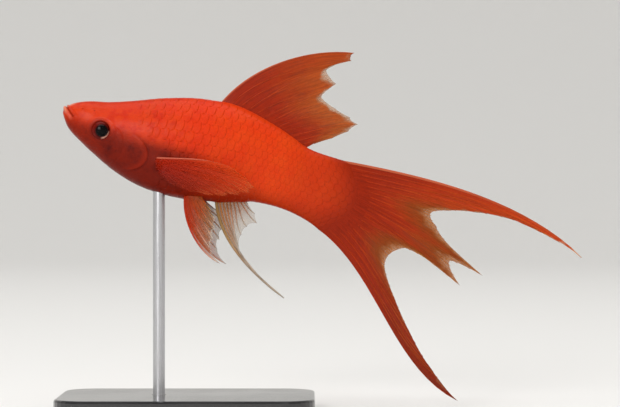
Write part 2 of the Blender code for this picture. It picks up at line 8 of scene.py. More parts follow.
import bpy
import numpy as np
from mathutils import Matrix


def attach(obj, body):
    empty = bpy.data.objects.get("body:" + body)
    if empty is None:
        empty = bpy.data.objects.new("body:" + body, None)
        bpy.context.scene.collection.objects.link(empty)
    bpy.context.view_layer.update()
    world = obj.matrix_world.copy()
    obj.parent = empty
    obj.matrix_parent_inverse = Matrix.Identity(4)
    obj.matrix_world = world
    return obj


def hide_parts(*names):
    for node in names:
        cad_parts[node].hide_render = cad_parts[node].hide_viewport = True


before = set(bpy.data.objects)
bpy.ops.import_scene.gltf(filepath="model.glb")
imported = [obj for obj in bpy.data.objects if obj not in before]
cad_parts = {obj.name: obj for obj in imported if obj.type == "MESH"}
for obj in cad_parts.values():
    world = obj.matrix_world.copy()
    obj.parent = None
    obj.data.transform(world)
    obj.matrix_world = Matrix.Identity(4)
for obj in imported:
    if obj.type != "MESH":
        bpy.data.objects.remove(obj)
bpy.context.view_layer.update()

bl_info = {
    "name": "Swordtail Model",
    "version": (1, 0, 0),
    "blender": (4, 5, 0),
    "location": "3D View > Sidebar > Swordtail",
    "description": "Builds a life-size red swordtail on a display stand around its solids",
    "category": "Add Mesh",
}

# A millimetre in metres, the seed of the random draws, and the snout's place in world millimetres
MM = 0.001
SEED = 11
SNOUT = np.array((-31.0, 0.0, 75.2))

# Body outline: distance from the snout, back height, belly height, half width
OUTLINE = np.array((
    (0.0, 0.9, 0.3, 0.0),
    (0.8, 1.9, -1.4, 2.4),
    (2.3, 3.0, -3.3, 3.3),
    (6.2, 4.6, -5.8, 4.3),
    (10.6, 5.7, -8.0, 4.9),
    (16.0, 7.6, -10.4, 5.7),
    (24.0, 10.7, -12.4, 6.4),
    (33.0, 13.1, -12.5, 6.5),
    (42.0, 13.7, -10.9, 5.8),
    (53.0, 11.4, -7.9, 4.2),
    (62.0, 8.6, -7.9, 2.7),
    (70.6, 8.2, -10.3, 1.25),
))

# Body and skin: length, bulge of the tail's root and its start, reach over the fin, and fineness
BODY_LENGTH = 70.6
TAIL_BASE_BULGE = 5.6
BULGE_START = 61.5
SHEATH = 2.2
AXIS_END = BODY_LENGTH + SHEATH
HALF_RING = 146
FINE_STEPS = 721

# Tail end of the skin: half the fin's height and thickness, and headings of its rays in degrees
SHEATH_HALF_HEIGHT = 9.25
SHEATH_HALF_THICKNESS = 0.12
FAN_MIDDLE = -9.0
FAN_SPREAD = 15.0

# Head features
EYE_CENTRE = (10.8, -1.7)
PUPIL_CENTRE = (11.15, -1.8)
MOUTH_FRONT = np.array((0.6, 1.55))
MOUTH_CORNER = np.array((3.2, -0.5))
NOSTRILS = ((4.9, 2.1), (7.9, 2.5))
GILL_CENTRE = (17.4, -5.1)
GILL_RADII = (6.4, 4.6)

# Eyeball: half its depth, and how deep its middle sits under the plain flank
EYE_HALF_DEPTH = 1.9
EYE_SINK = 1.05
EYE_SIDES = 96

# Scales: spacing in row widths, place of the last one, widest place along a plate, and a plate's sizes
SCALE_STEP = 0.80
LAST_SCALE = 68.8
SCALE_MIDDLE = 0.42
SCALE_LENGTH = 1.9
SCALE_WIDTH = 0.95
SCALE_THICKNESS = 0.03
SCALE_PATCH = 0.003
SCALE_SURFACE = 161

# Fins: columns between two rays, stations and sides of a ray, and how far its branches spread
MEMBRANE_COLUMNS = 7
RAY_STATIONS = 20
RAY_SIDES = 5
BRANCH_SPREAD = 0.20
TWIG_SPREAD = 0.11

# Bowl that is floor and backdrop: radius of its flat part, radius of the turn up, and sides
FLOOR_REACH = 1.5
FLOOR_BEND = 2.0
FLOOR_SIDES = 96

# Distances of the fine bumps, in metres
SKIN_BUMP = 0.00006
EYE_BUMP = 0.00003
FIN_BUMP = 0.00002
STAND_BUMP = 0.000004

# Dark patches of the lower head and gill cover, its own darker red with painted shade: centre and reach
DARK_PATCHES = (((14.0, -6.2), 3.4), ((26.7, -6.8), 3.0), ((22.7, -2.4), 2.2))

# Inputs of the fin tissue
FIN_COLOURS = ("Root Front", "Root Rear", "Margin Front", "Margin Rear", "Edge", "Lead")
FIN_OPACITIES = ("Root Opacity", "Margin Front Opacity", "Margin Rear Opacity", "Edge Opacity")


# Settings that a user would change


def a_length(name, description, default, precision=5):
    return bpy.props.FloatProperty(name=name, description=description, default=default,
                                   precision=precision, unit="LENGTH")


def a_colour(name, description, default):
    return bpy.props.FloatVectorProperty(name=name, description=description, default=default,
                                         size=3, subtype="COLOR", min=0.0, max=1.0)


def a_power(name, description, default):
    return bpy.props.FloatProperty(name=name, description=description, default=default, min=0.0)


class BodySizes(bpy.types.PropertyGroup):
    """Sizes of the head's features and the scales."""
    pitch: bpy.props.FloatProperty(
        name="Pitch", description="How far the fish is tilted head up",
        default=math.radians(16.5), unit="ROTATION")
    lip_height: a_length("Lip height", "How far the lips stand out from the snout", 0.00030)
    mouth_depth: a_length("Mouth depth", "Depth of the slit between the lips", 0.00030)
    eye_radius: a_length("Eye radius", "Radius of the eyeball seen from the side", 0.00245)
    gill_step: a_length("Gill cover step", "How far the gill cover's rear edge stands out", 0.00013)
    scale_rows: bpy.props.IntProperty(
        name="Scale rows", description="Rows of scales from the back to the belly on one side",
        default=13, min=6, max=24)
    scale_lift: a_length("Scale lift", "How far the rear edge of a scale stands over the skin", 0.000034, 6)


class FinSizes(bpy.types.PropertyGroup):
    """Sizes of the membranes and rays of the fins."""
    membrane: a_length("Membrane", "Thickness of a fin's membrane between its rays", 0.00014)
    ray_radius: a_length("Ray radius", "Radius of a main ray near the body", 0.00021)
    pleat: a_length("Pleat", "How far neighbouring rays fold to either side at the margin", 0.00022)


class FishColours(bpy.types.PropertyGroup):
    """Colours of the fish and its stand."""
    bright: a_colour("Flank red", "Bright red of the back and flank", (0.61, 0.030, 0.003))
    warm: a_colour("Flank orange", "Warmer red towards the tail and on the scale edges", (0.63, 0.050, 0.004))
    # Cheek red: the lower head's own darker red, also used as painted shade on the head and belly
    shade: a_colour("Cheek red", "Darker red of the lower head", (0.19, 0.009, 0.001))
    # Gill red deepens the painted shade round the gill cover and under the eye
    deep: a_colour("Gill red", "Darkest red round the gill cover", (0.08, 0.003, 0.001))
    # Lip pink also colours the painted highlight along the top of the snout
    lip: a_colour("Lip pink", "Pale pink of the lips", (0.56, 0.075, 0.040))
    iris: a_colour("Iris", "Dark red of the iris", (0.10, 0.004, 0.003))
    silver: a_colour("Iris silver", "Silvery pink of the iris below the pupil", (0.72, 0.36, 0.27))
    fin: a_colour("Fin red", "Deep red of the fins near the body", (0.255, 0.015, 0.002))
    fin_orange: a_colour("Fin orange", "Orange of the fins towards their margin", (0.34, 0.046, 0.006))
    clear: a_colour("Fin margin", "Pale grey of the clear margins and filaments", (0.40, 0.33, 0.26))
    acrylic: a_colour("Base", "Black acrylic of the base", (0.010, 0.010, 0.011))
    steel: a_colour("Rod", "Brushed steel of the rod", (0.56, 0.56, 0.58))


class StageSettings(bpy.types.PropertyGroup):
    """Camera, floor and lights."""
    distance: a_length("Camera distance", "From the camera to the fish's middle plane", 0.6)
    view_width: a_length("View width", "Width of the picture at the fish's middle plane", 0.155)
    centre_x: a_length("View centre X", "Where the picture's middle lies along the fish", 0.03075)
    centre_z: a_length("View centre Z", "Height of the picture's middle over the floor", 0.0523)
    floor: a_colour("Floor", "Pale floor and backdrop", (0.84, 0.83, 0.81))
    key: a_power("Key light", "Power of the main light in watts", 3.0)
    ceiling: a_power("Ceiling light", "Power of the wide light over the stage in watts", 68.0)
    sky: a_power("Sky", "Strength of the even light from all round", 0.3)


# Shapes shared by the pieces


def smoothstep(low, high, x):
    t = np.clip((x - low) / (high - low), 0.0, 1.0)
    return t * t * (3.0 - 2.0 * t)


def bell(x, centre, width):
    """Smooth bump of height one, centred, that falls to 1/e at the width."""
    return np.exp(-((x - centre) / width) ** 2)


def spline(x, knots, values):
    """Cubic curve through the values at the knots, with finite-difference slopes."""
    slope = np.gradient(values, knots)
    x = np.clip(x, knots[0], knots[-1])
    i = np.clip(np.searchsorted(knots, x, side="right") - 1, 0, len(knots) - 2)
    step = knots[i + 1] - knots[i]
    t = (x - knots[i]) / step
    rise = (3.0 - 2.0 * t) * t * t
    near = t * (1.0 - t) ** 2 * step * slope[i]
    far = t * t * (t - 1.0) * step * slope[i + 1]
    return values[i] * (1.0 - rise) + values[i + 1] * rise + near + far


def body_at(x, column):
    """Back height (1), belly height (2) or half width (3): a spline over the root of the distance."""
    return spline(np.sqrt(np.maximum(x, 0.0)), np.sqrt(OUTLINE[:, 0]), OUTLINE[:, column])


def body_middle(x):
    return 0.52 * body_at(x, 1) + 0.48 * body_at(x, 2)


def squareness(x):
    return 2.15 + 0.45 * smoothstep(12.0, 4.0, x) + 1.2 * smoothstep(60.0, 70.0, x)


def flank(x, z):
    """Half width of the body at a height: a superellipse about the widest point."""
    middle = body_middle(x)
    reach = np.where(z > middle, body_at(x, 1) - middle, middle - body_at(x, 2))
    across = np.clip(np.abs(z - middle) / reach, 0.0, 1.0)
    power = squareness(x)
    return body_at(x, 3) * (1.0 - across ** power) ** (1.0 / power)


def tail_bulge(x, z):
    """How far the tail base bows to the rear: a parabola over the height."""
    middle = body_middle(BODY_LENGTH)
    half = 0.5 * (body_at(BODY_LENGTH, 1) - body_at(BODY_LENGTH, 2))
    return TAIL_BASE_BULGE * smoothstep(BULGE_START, BODY_LENGTH, x) * (1.0 - ((z - middle) / half) ** 2)


def to_world(points, pitch):
    """Fish millimetres to world metres: turned by the pitch about Y, moved to the snout."""
    x, y, z = np.moveaxis(points, -1, 0)
    turned = np.stack([x * math.cos(pitch) + z * math.sin(pitch), y,
                       z * math.cos(pitch) - x * math.sin(pitch)], axis=-1)
    return (turned + SNOUT) * MM


def half_surface(axis, count):
    """Right half of the body: at each place on the axis, points evenly spaced from back to belly.

    The section is a superellipse, |cos|^p across and |sin|^p up. Past the body's end the surface
    narrows to the thickness of the tail fin and fans out along the fin's rays."""
    x = np.minimum(axis, BODY_LENGTH)[:, None]
    angle = np.linspace(0.5, -0.5, FINE_STEPS)[None, :] * math.pi
    power = 2.0 / squareness(x)
    middle = body_middle(x)
    up = np.sign(np.sin(angle)) * np.abs(np.sin(angle)) ** power
    z = middle + up * np.where(up > 0.0, body_at(x, 1) - middle, middle - body_at(x, 2))
    y = np.abs(np.cos(angle)) ** power * body_at(x, 3)
    y[:, [0, -1]] = 0.0
    arc = np.cumsum(np.hypot(np.diff(y, prepend=y[:, :1]), np.diff(z, prepend=z[:, :1])), axis=1)
    even = np.linspace(0.0, 1.0, count)
    y = np.stack([np.interp(even, a / a[-1], row) for a, row in zip(arc, y)])
    z = np.stack([np.interp(even, a / a[-1], row) for a, row in zip(arc, z)])
    past = np.maximum(axis - BODY_LENGTH, 0.0)[:, None]
    share = np.minimum(past / SHEATH, 1.0)
    rise = (z - body_middle(BODY_LENGTH)) / SHEATH_HALF_HEIGHT
    heading = np.radians(FAN_MIDDLE + FAN_SPREAD * rise)
    edge = SHEATH_HALF_THICKNESS * np.sqrt(np.clip(1.0 - rise ** 2, 0.0, 1.0))
    y = y * (1.0 - share) ** 0.75 + share * edge
    point_x = x + tail_bulge(x, z) + past * np.cos(heading)
    z = z + past * np.sin(heading) - 0.5 * rise * smoothstep(0.0, 1.0, share) * (past > 0.0)
    return np.stack([point_x, y, z], axis=-1)


def unit(vectors):
    return vectors / np.maximum(np.linalg.norm(vectors, axis=-1), 1e-9)[..., None]


def body_normals(half):
    """Outward normals of half the body from its two difference directions, level at back and belly."""
    normal = unit(np.cross(np.gradient(half, axis=1), np.gradient(half, axis=0)))
    normal[:, [0, -1], 1] = 0.0
    normal = unit(normal)
    return normal * np.sign(normal[:, half.shape[1] // 2, 1].sum())


# Meshes


def grid_quads(rows, columns, wrap=False):
    """Corner numbers of the quads of a grid, row after row; wrap joins the last column to the first."""
    i = np.arange(rows - 1)[:, None]
    j = np.arange(columns if wrap else columns - 1)[None, :]
    k = (j + 1) % columns
    corners = [i * columns + j, i * columns + k, (i + 1) * columns + k, (i + 1) * columns + j]
    return np.stack(corners, axis=-1).reshape(-1, 4)


def grid_uv(u, v):
    """Corner UVs that match grid_quads, from the rows' u and the column edges' v."""
    uv = np.stack(np.meshgrid(u, v, indexing="ij"), axis=-1)
    corners = [uv[:-1, :-1], uv[:-1, 1:], uv[1:, 1:], uv[1:, :-1]]
    return np.stack(corners, axis=2).reshape(-1, 4, 2)


def sheet_quads(rows, columns):
    """Quads of a closed sheet between two grids of corners: the two faces, then the wall round them."""
    cells = rows * columns
    face = grid_quads(rows, columns)
    right, down = np.arange(columns - 1), np.arange(rows - 1)
    loop = np.concatenate([right, down * columns + columns - 1, cells - 1 - right,
                           (rows - 1 - down) * columns])
    after = np.roll(loop, -1)
    wall = np.stack([after, loop, loop + cells, after + cells], axis=1)
    return np.concatenate([face, face[:, ::-1] + cells, wall])


def pole_fan(pole, ring, count):
    """Triangles from a pole to the ring of corners that starts at a number."""
    k = np.arange(count)
    return np.stack([np.full(count, pole), ring + (k + 1) % count, ring + k], axis=1)


def turned_rings(reach, rise, count):
    """Rings of a surface turned about an axis: each at its reach from the axis and its rise along it."""
    spin = 2.0 * math.pi * np.arange(count) / count
    return np.stack([reach[:, None] * np.cos(spin), reach[:, None] * np.sin(spin),
                     np.broadcast_to(rise[:, None], (len(rise), count))], axis=-1)


def signed_volume(points, faces):
    """Six times the enclosed volume, from the fan of triangles of each face."""
    total = 0.0
    for group in faces:
        for k in range(1, group.shape[1] - 1):
            a, b, c = (points[group[:, n]] for n in (0, k, k + 1))
            total += np.einsum("ij,ij->", a, np.cross(b, c))
    return total


def make_piece(name, points, faces, material, uvs=None, uv_name="UVMap", values=None, flat=None):
    """Mesh object from whole arrays, turned outward; faces and uvs come in groups of equal corners.

    Values become attributes of the corners. Faces marked flat do not bend the smooth ones' shading."""
    if signed_volume(points - points.mean(axis=0), faces) < 0.0:
        faces = [group[:, ::-1] for group in faces]
        uvs = None if uvs is None else [group[:, ::-1] for group in uvs]
    mesh = bpy.data.meshes.new(name)
    mesh.vertices.add(len(points))
    mesh.vertices.foreach_set("co", points.astype(np.float32).ravel())
    corners = np.concatenate([group.ravel() for group in faces]).astype(np.int32)
    sizes = np.concatenate([np.full(len(group), group.shape[1]) for group in faces])
    starts = np.concatenate([[0], np.cumsum(sizes)[:-1]]).astype(np.int32)
    mesh.loops.add(len(corners))
    mesh.loops.foreach_set("vertex_index", corners)
    mesh.polygons.add(len(sizes))
    mesh.polygons.foreach_set("loop_start", starts)
    mesh.update(calc_edges=True)
    mesh.shade_smooth()
    if flat is not None:
        mesh.polygons.foreach_set("use_smooth", ~flat)
    if uvs is not None:
        layer = mesh.uv_layers.new(name=uv_name)
        corner_uvs = np.concatenate([group.reshape(-1, 2) for group in uvs])
        layer.data.foreach_set("uv", corner_uvs.astype(np.float32).ravel())
    for key, value in (values or {}).items():
        layer = mesh.attributes.new(key, "FLOAT", "POINT")
        layer.data.foreach_set("value", value.astype(np.float32).ravel())
    mesh.materials.append(material)
    piece = bpy.data.objects.new(name, mesh)
    bpy.context.scene.collection.objects.link(piece)
    return piece


# Material nodes


def node(tree, kind, *values, **settings):
    """New node: each value is linked where it is a socket, or else set on the input in that place."""
    new = tree.nodes.new(kind)
    for key, value in settings.items():
        setattr(new, key, value)
    for place, value in enumerate(values):
        if isinstance(value, bpy.types.NodeSocket):
            tree.links.new(value, new.inputs[place])
        elif value is not None:
            new.inputs[place].default_value = value
    return new


def rgba(colour):
    return (*colour, 1.0)


def set_inputs(new, values):
    """Sets inputs of a node by name: numbers as they are, colours with an alpha of one."""
    for key, value in values.items():
        new.inputs[key].default_value = value if isinstance(value, float) else rgba(value)


def math_of(tree, operation, a, b, clamp=False):
    return node(tree, "ShaderNodeMath", a, b, operation=operation, use_clamp=clamp).outputs[0]


def times(tree, a, b, clamp=False):
    return math_of(tree, "MULTIPLY", a, b, clamp)


def plus(tree, a, b, clamp=False):
    return math_of(tree, "ADD", a, b, clamp)


def minus(tree, a, b, clamp=False):
    return math_of(tree, "SUBTRACT", a, b, clamp)


def vector_math(tree, operation, a, b=None, output=0):
    return node(tree, "ShaderNodeVectorMath", a, b, operation=operation).outputs[output]


def ramp(tree, value, low, high, start=0.0, end=1.0):
    """Smooth step of a value from start at low to end at high."""
    return node(tree, "ShaderNodeMapRange", value, low, high, start, end,
                interpolation_type="SMOOTHSTEP").outputs[0]


def mix(tree, factor, a, b, blend="MIX"):
    """Mixed colour of two colours."""
    return node(tree, "ShaderNodeMix", factor, None, None, None, None, None, a, b,
                data_type="RGBA", blend_type=blend).outputs[2]


def mix_number(tree, factor, a, b):
    return node(tree, "ShaderNodeMix", factor, None, a, b, data_type="FLOAT").outputs[0]


def toned(tree, colour, tone):
    """Colour multiplied by a number."""
    grey = node(tree, "ShaderNodeCombineColor", tone, tone, tone).outputs[0]
    return mix(tree, 1.0, colour, grey, "MULTIPLY")


def noise(tree, vector, scale, detail=2.0, roughness=0.5):
    new = node(tree, "ShaderNodeTexNoise", vector)
    set_inputs(new, {"Scale": scale, "Detail": detail, "Roughness": roughness})
    return new.outputs[0]


def attribute(tree, name):
    return node(tree, "ShaderNodeAttribute", attribute_name=name,
                attribute_type="GEOMETRY").outputs["Fac"]


def object_place(tree):
    return node(tree, "ShaderNodeTexCoord").outputs["Object"]


def new_group(name, colours, numbers, outputs):
    """Node group with named sockets: colours in, numbers in with their defaults, and what comes out."""
    tree = bpy.data.node_groups.new(name, "ShaderNodeTree")
    inputs = {**dict.fromkeys(colours, rgba((0.5, 0.05, 0.02))), **numbers}
    for label, value in inputs.items():
        kind = "NodeSocketFloat" if label in numbers else "NodeSocketColor"
        tree.interface.new_socket(label, in_out="INPUT", socket_type=kind).default_value = value
    for label in outputs:
        kind = "NodeSocketColor" if label == "Color" else "NodeSocketFloat"
        tree.interface.new_socket(label, in_out="OUTPUT", socket_type=kind)
    return tree, tree.nodes.new("NodeGroupInput").outputs, tree.nodes.new("NodeGroupOutput").inputs


def fish_place(tree, pitch):
    """Object coordinates turned back into fish millimetres."""
    snout = to_world(np.zeros(3), pitch) / MM
    x = snout[0] * math.cos(pitch) - snout[2] * math.sin(pitch)
    z = snout[2] * math.cos(pitch) + snout[0] * math.sin(pitch)
    return node(tree, "ShaderNodeMapping", object_place(tree), (-x, 0.0, -z), (0.0, -pitch, 0.0),
                (1.0 / MM,) * 3).outputs[0]


def markings_group(pitch):
    """Red skin: bright back and flank, painted shade on the lower head, over its own darker red, and on the
    belly, pink lips with a painted highlight along the top of the snout, painted shade in the openings, scale
    centres.

    Noise scales and the places on x and z are per fish millimetre and in fish millimetres."""
    tree, given, put = new_group("FishMarkings", ("Bright", "Warm", "Shade", "Deep", "Lip", "Tail"), {},
                                 ("Color", "Roughness", "Height"))
    place = fish_place(tree, pitch)
    parts = node(tree, "ShaderNodeSeparateXYZ", place).outputs
    x, z = parts[0], parts[2]
    blotch = noise(tree, place, 0.22, 3.0)
    mottle = noise(tree, place, 0.75, 4.0, 0.6)
    fine = noise(tree, place, 4.5, 3.0, 0.6)

    # Back and flank, warmer to the rear, the head darkened towards the snout as painted shade, with darker
    # flecks towards the head
    warm = plus(tree, ramp(tree, x, 30.0, 62.0, 0.1, 0.6), ramp(tree, blotch, 0.35, 0.7, -0.15, 0.35),
                clamp=True)
    colour = mix(tree, warm, given["Bright"], given["Warm"])
    # Painted shade: the head darker towards the snout
    colour = mix(tree, ramp(tree, x, 38.0, 14.0, 0.0, 0.2), colour, given["Shade"])
    fleck = times(tree, ramp(tree, noise(tree, place, 0.5, 1.5), 0.50, 0.68),
                  ramp(tree, x, 46.0, 24.0, 0.0, 0.42))
    colour = mix(tree, fleck, colour, rgba((0.42, 0.006, 0.001)))

    # Painted shade on the lower head, over its own darker red, and on the belly, darkest round the gill cover
    wobble = times(tree, minus(tree, blotch, 0.5), 2.0)
    level = plus(tree, z, wobble)
    shade = times(tree, ramp(tree, level, 1.2, -3.4), ramp(tree, x, 27.0, 45.0, 1.0, 0.0))
    colour = mix(tree, times(tree, shade, 0.92), colour, given["Shade"])
    # Painted shade on the belly
    belly = times(tree, ramp(tree, level, -3.0, -9.0), ramp(tree, x, 66.0, 44.0, 0.5, 0.78))
    colour = mix(tree, belly, colour, given["Shade"])
    # Darker still round the gill cover and under the eye, inside the painted shade: partly the fish's own
    # red, partly painted shade
    dark = ramp(tree, x, 5.0, 17.0, 0.05, 0.45)
    flat = vector_math(tree, "MULTIPLY", place, (1.0, 0.0, 1.0))
    for centre, reach in DARK_PATCHES:
        away = vector_math(tree, "DISTANCE", flat, (centre[0], 0.0, centre[1]), "Value")
        dark = math_of(tree, "MAXIMUM", dark, ramp(tree, away, reach, 0.0, 0.0, 0.8))
    dark = times(tree, dark, ramp(tree, mottle, 0.25, 0.6, 0.7, 1.0))
    patch = noise(tree, place, 0.33, 3.0, 0.6)
    dark = plus(tree, dark, ramp(tree, patch, 0.5, 0.68, 0.0, 0.35), clamp=True)
    colour = mix(tree, times(tree, dark, shade), colour, given["Deep"])

    # Scales: darker centres, each in its own tone, with a warm rim
    tile = attribute(tree, "tile")
    on_scale = attribute(tree, "on_scale")
    centre = times(tree, ramp(tree, tile, 0.85, 0.35), on_scale)
    strength = times(tree, ramp(tree, x, 20.0, 42.0, 0.22, 0.05), ramp(tree, mottle, 0.3, 0.6, 0.2, 1.0))
    colour = mix(tree, times(tree, centre, strength), colour, given["Shade"])
    tone = times(tree, attribute(tree, "tone"), ramp(tree, x, 20.0, 34.0, 0.12, 0.04))
    colour = mix(tree, times(tree, tone, on_scale), colour, given["Shade"])
    rim = times(tree, ramp(tree, tile, 0.86, 1.0), times(tree, on_scale, 0.12))
    colour = mix(tree, times(tree, rim, minus(tree, 1.0, shade)), colour, given["Warm"])
    colour = toned(tree, colour, ramp(tree, fine, 0.3, 0.7, 0.9, 1.08))

    # Pale lips with a painted highlight along the top of the snout, painted shade in the openings, a lighter
    # gill edge, and the tail's own red
    lip = mix(tree, ramp(tree, x, 1.6, 0.3, 0.0, 0.6), given["Lip"], rgba((0.62, 0.27, 0.15)))
    colour = mix(tree, attribute(tree, "lip"), colour, lip)
    # Painted highlight along the top of the snout
    rise = minus(tree, z, times(tree, x, 0.75))
    crest_highlight = times(tree, ramp(tree, rise, 0.55, 0.9), ramp(tree, x, 3.6, 2.0, 0.0, 0.66))
    colour = mix(tree, crest_highlight, colour, rgba((0.70, 0.22, 0.14)))
    colour = mix(tree, times(tree, attribute(tree, "edge"), 0.12), colour, given["Bright"])
    # Painted shade in the mouth, nostrils, orbit and the groove behind the gill cover
    colour = mix(tree, attribute(tree, "cavity_shade"), colour, rgba((0.10, 0.004, 0.002)))
    colour = mix(tree, attribute(tree, "tail"), colour, given["Tail"])
    tree.links.new(colour, put["Color"])
    tree.links.new(ramp(tree, mottle, 0.3, 0.7, 0.30, 0.44), put["Roughness"])
    tree.links.new(plus(tree, times(tree, fine, 0.35), times(tree, mottle, 1.6)), put["Height"])
    return tree


def fin_group():
    """Fin tissue: four corner colours and opacities over the fin's own UVs, with fine mottling.

    U runs across the rays from the first to the last, V along them from the body to the margin."""
    tree, given, put = new_group(
        "FinTissue", (*FIN_COLOURS, "Tip"),
        {"Fade Start": 0.3, "Edge Start": 0.9, **dict.fromkeys(FIN_OPACITIES, 1.0), "Lead Width": 0.012,
         "Front Hold": 0.0, "Clear Middle": 0.0, "Middle Shade": 0.0, "Beads": 0.1, "Streaks": 60.0,
         "Joint Spacing": 60.0},
        ("Color", "Alpha", "Height"))
    uv = node(tree, "ShaderNodeUVMap", uv_map="UVMap").outputs[0]
    across, along = node(tree, "ShaderNodeSeparateXYZ", uv).outputs[:2]
    place = object_place(tree)
    mottle = noise(tree, place, 420.0, 3.0, 0.6)
    grain = noise(tree, place, 2600.0)
    shift = times(tree, minus(tree, mottle, 0.5), 0.22)
    length = plus(tree, along, shift)
    rear = plus(tree, across, shift, clamp=True)

    def streaks_along(spacing):
        return node(tree, "ShaderNodeCombineXYZ", times(tree, across, given["Streaks"]),
                    times(tree, along, spacing)).outputs[0]

    # Root to margin, streaked along the rays and dusky in the middle
    out = ramp(tree, length, given["Fade Start"], 1.0)
    root = mix(tree, rear, given["Root Front"], given["Root Rear"])
    margin = mix(tree, rear, given["Margin Front"], given["Margin Rear"])
    colour = mix(tree, out, root, margin)
    streak = noise(tree, streaks_along(4.0), 1.0, 3.0, 0.6)
    colour = toned(tree, colour, times(tree, ramp(tree, grain, 0.3, 0.7, 0.94, 1.06),
                                       ramp(tree, streak, 0.3, 0.7, 0.84, 1.12)))
    middle = times(tree, ramp(tree, across, 0.16, 0.30), ramp(tree, across, 0.86, 0.70))
    dusk = times(tree, times(tree, middle, given["Middle Shade"]), ramp(tree, length, 0.4, 0.9))
    colour = mix(tree, dusk, colour, rgba((0.17, 0.045, 0.006)))

    # Clear edge: it starts later or earlier at the front, earlier in the middle, and ends in a pale tip
    hold = times(tree, ramp(tree, across, 0.24, 0.05), given["Front Hold"])
    start = minus(tree, plus(tree, given["Edge Start"], hold), times(tree, middle, given["Clear Middle"]))
    start = math_of(tree, "MINIMUM", start, 0.985)
    edge = times(tree, ramp(tree, length, start, 1.0), ramp(tree, across, 0.84, 0.92, 1.0, 0.3))
    edge = times(tree, edge, minus(tree, 1.0, times(tree, hold, 8.0), clamp=True))
    border = mix(tree, ramp(tree, across, 0.07, 0.02), given["Edge"], given["Tip"])
    colour = mix(tree, edge, colour, border)
    bead = times(tree, ramp(tree, noise(tree, streaks_along(45.0), 1.2, 1.0), 0.55, 0.66), edge)
    colour = mix(tree, times(tree, bead, given["Beads"]), colour, rgba((0.75, 0.70, 0.62)))
    lead = times(tree, ramp(tree, across, given["Lead Width"], 0.0), ramp(tree, out, 0.1, 0.8, 0.65, 0.1))
    colour = mix(tree, lead, colour, given["Lead"])

    opacity = mix_number(tree, rear, given["Margin Front Opacity"], given["Margin Rear Opacity"])
    opacity = mix_number(tree, out, given["Root Opacity"], opacity)
    opacity = mix_number(tree, edge, opacity, given["Edge Opacity"])
    opacity = times(tree, opacity, ramp(tree, streak, 0.3, 0.7, 0.92, 1.08), clamp=True)
    tree.links.new(colour, put["Color"])
    tree.links.new(math_of(tree, "MAXIMUM", opacity, lead), put["Alpha"])
    joints = math_of(tree, "SINE", times(tree, along, given["Joint Spacing"]), None)
    tree.links.new(plus(tree, times(tree, joints, 0.5), grain), put["Height"])
    return tree


def new_material(name, roughness=None, **constants):
    """Principled material with numbers and colours on the shader's own sockets."""
    material = bpy.data.materials.new(name)
    material.use_nodes = True
    shader = material.node_tree.nodes["Principled BSDF"]
    if roughness is not None:
        shader.inputs["Roughness"].default_value = roughness
    set_inputs(shader, {key.replace("_", " "): value for key, value in constants.items()})
    return material, material.node_tree, shader


def bump(tree, shader, height, distance, strength=1.0):
    new = node(tree, "ShaderNodeBump")
    set_inputs(new, {"Strength": strength, "Distance": distance})
    tree.links.new(height, new.inputs["Height"])
    tree.links.new(new.outputs[0], shader.inputs["Normal"])


def fish_material(name, colours, pitch):
    """Skin or scale material: the shared markings with a wet sheen."""
    group = bpy.data.node_groups.get("FishMarkings") or markings_group(pitch)
    material, tree, shader = new_material(name, Specular_IOR_Level=0.08, Coat_Weight=0.03,
                                          Coat_Roughness=0.15)
    marks = node(tree, "ShaderNodeGroup", node_tree=group)
    set_inputs(marks, {"Bright": colours.bright, "Warm": colours.warm, "Shade": colours.shade,
                       "Deep": colours.deep, "Lip": colours.lip, "Tail": colours.fin})
    tree.links.new(marks.outputs["Color"], shader.inputs["Base Color"])
    tree.links.new(marks.outputs["Roughness"], shader.inputs["Roughness"])
    bump(tree, shader, marks.outputs["Height"], SKIN_BUMP)
    return material


def fin_material(name, look, roughness=0.38):
    """Membrane or ray material: the shared fin tissue with this fin's colours and opacities."""
    if name in bpy.data.materials:
        return bpy.data.materials[name]
    group = bpy.data.node_groups.get("FinTissue") or fin_group()
    material, tree, shader = new_material(name, roughness, Specular_IOR_Level=0.08, Coat_Weight=0.02,
                                          Coat_Roughness=0.2)
    tissue = node(tree, "ShaderNodeGroup", node_tree=group)
    set_inputs(tissue, look)
    tree.links.new(tissue.outputs["Color"], shader.inputs["Base Color"])
    tree.links.new(tissue.outputs["Alpha"], shader.inputs["Alpha"])
    bump(tree, shader, tissue.outputs["Height"], FIN_BUMP)
    return material


# Skin


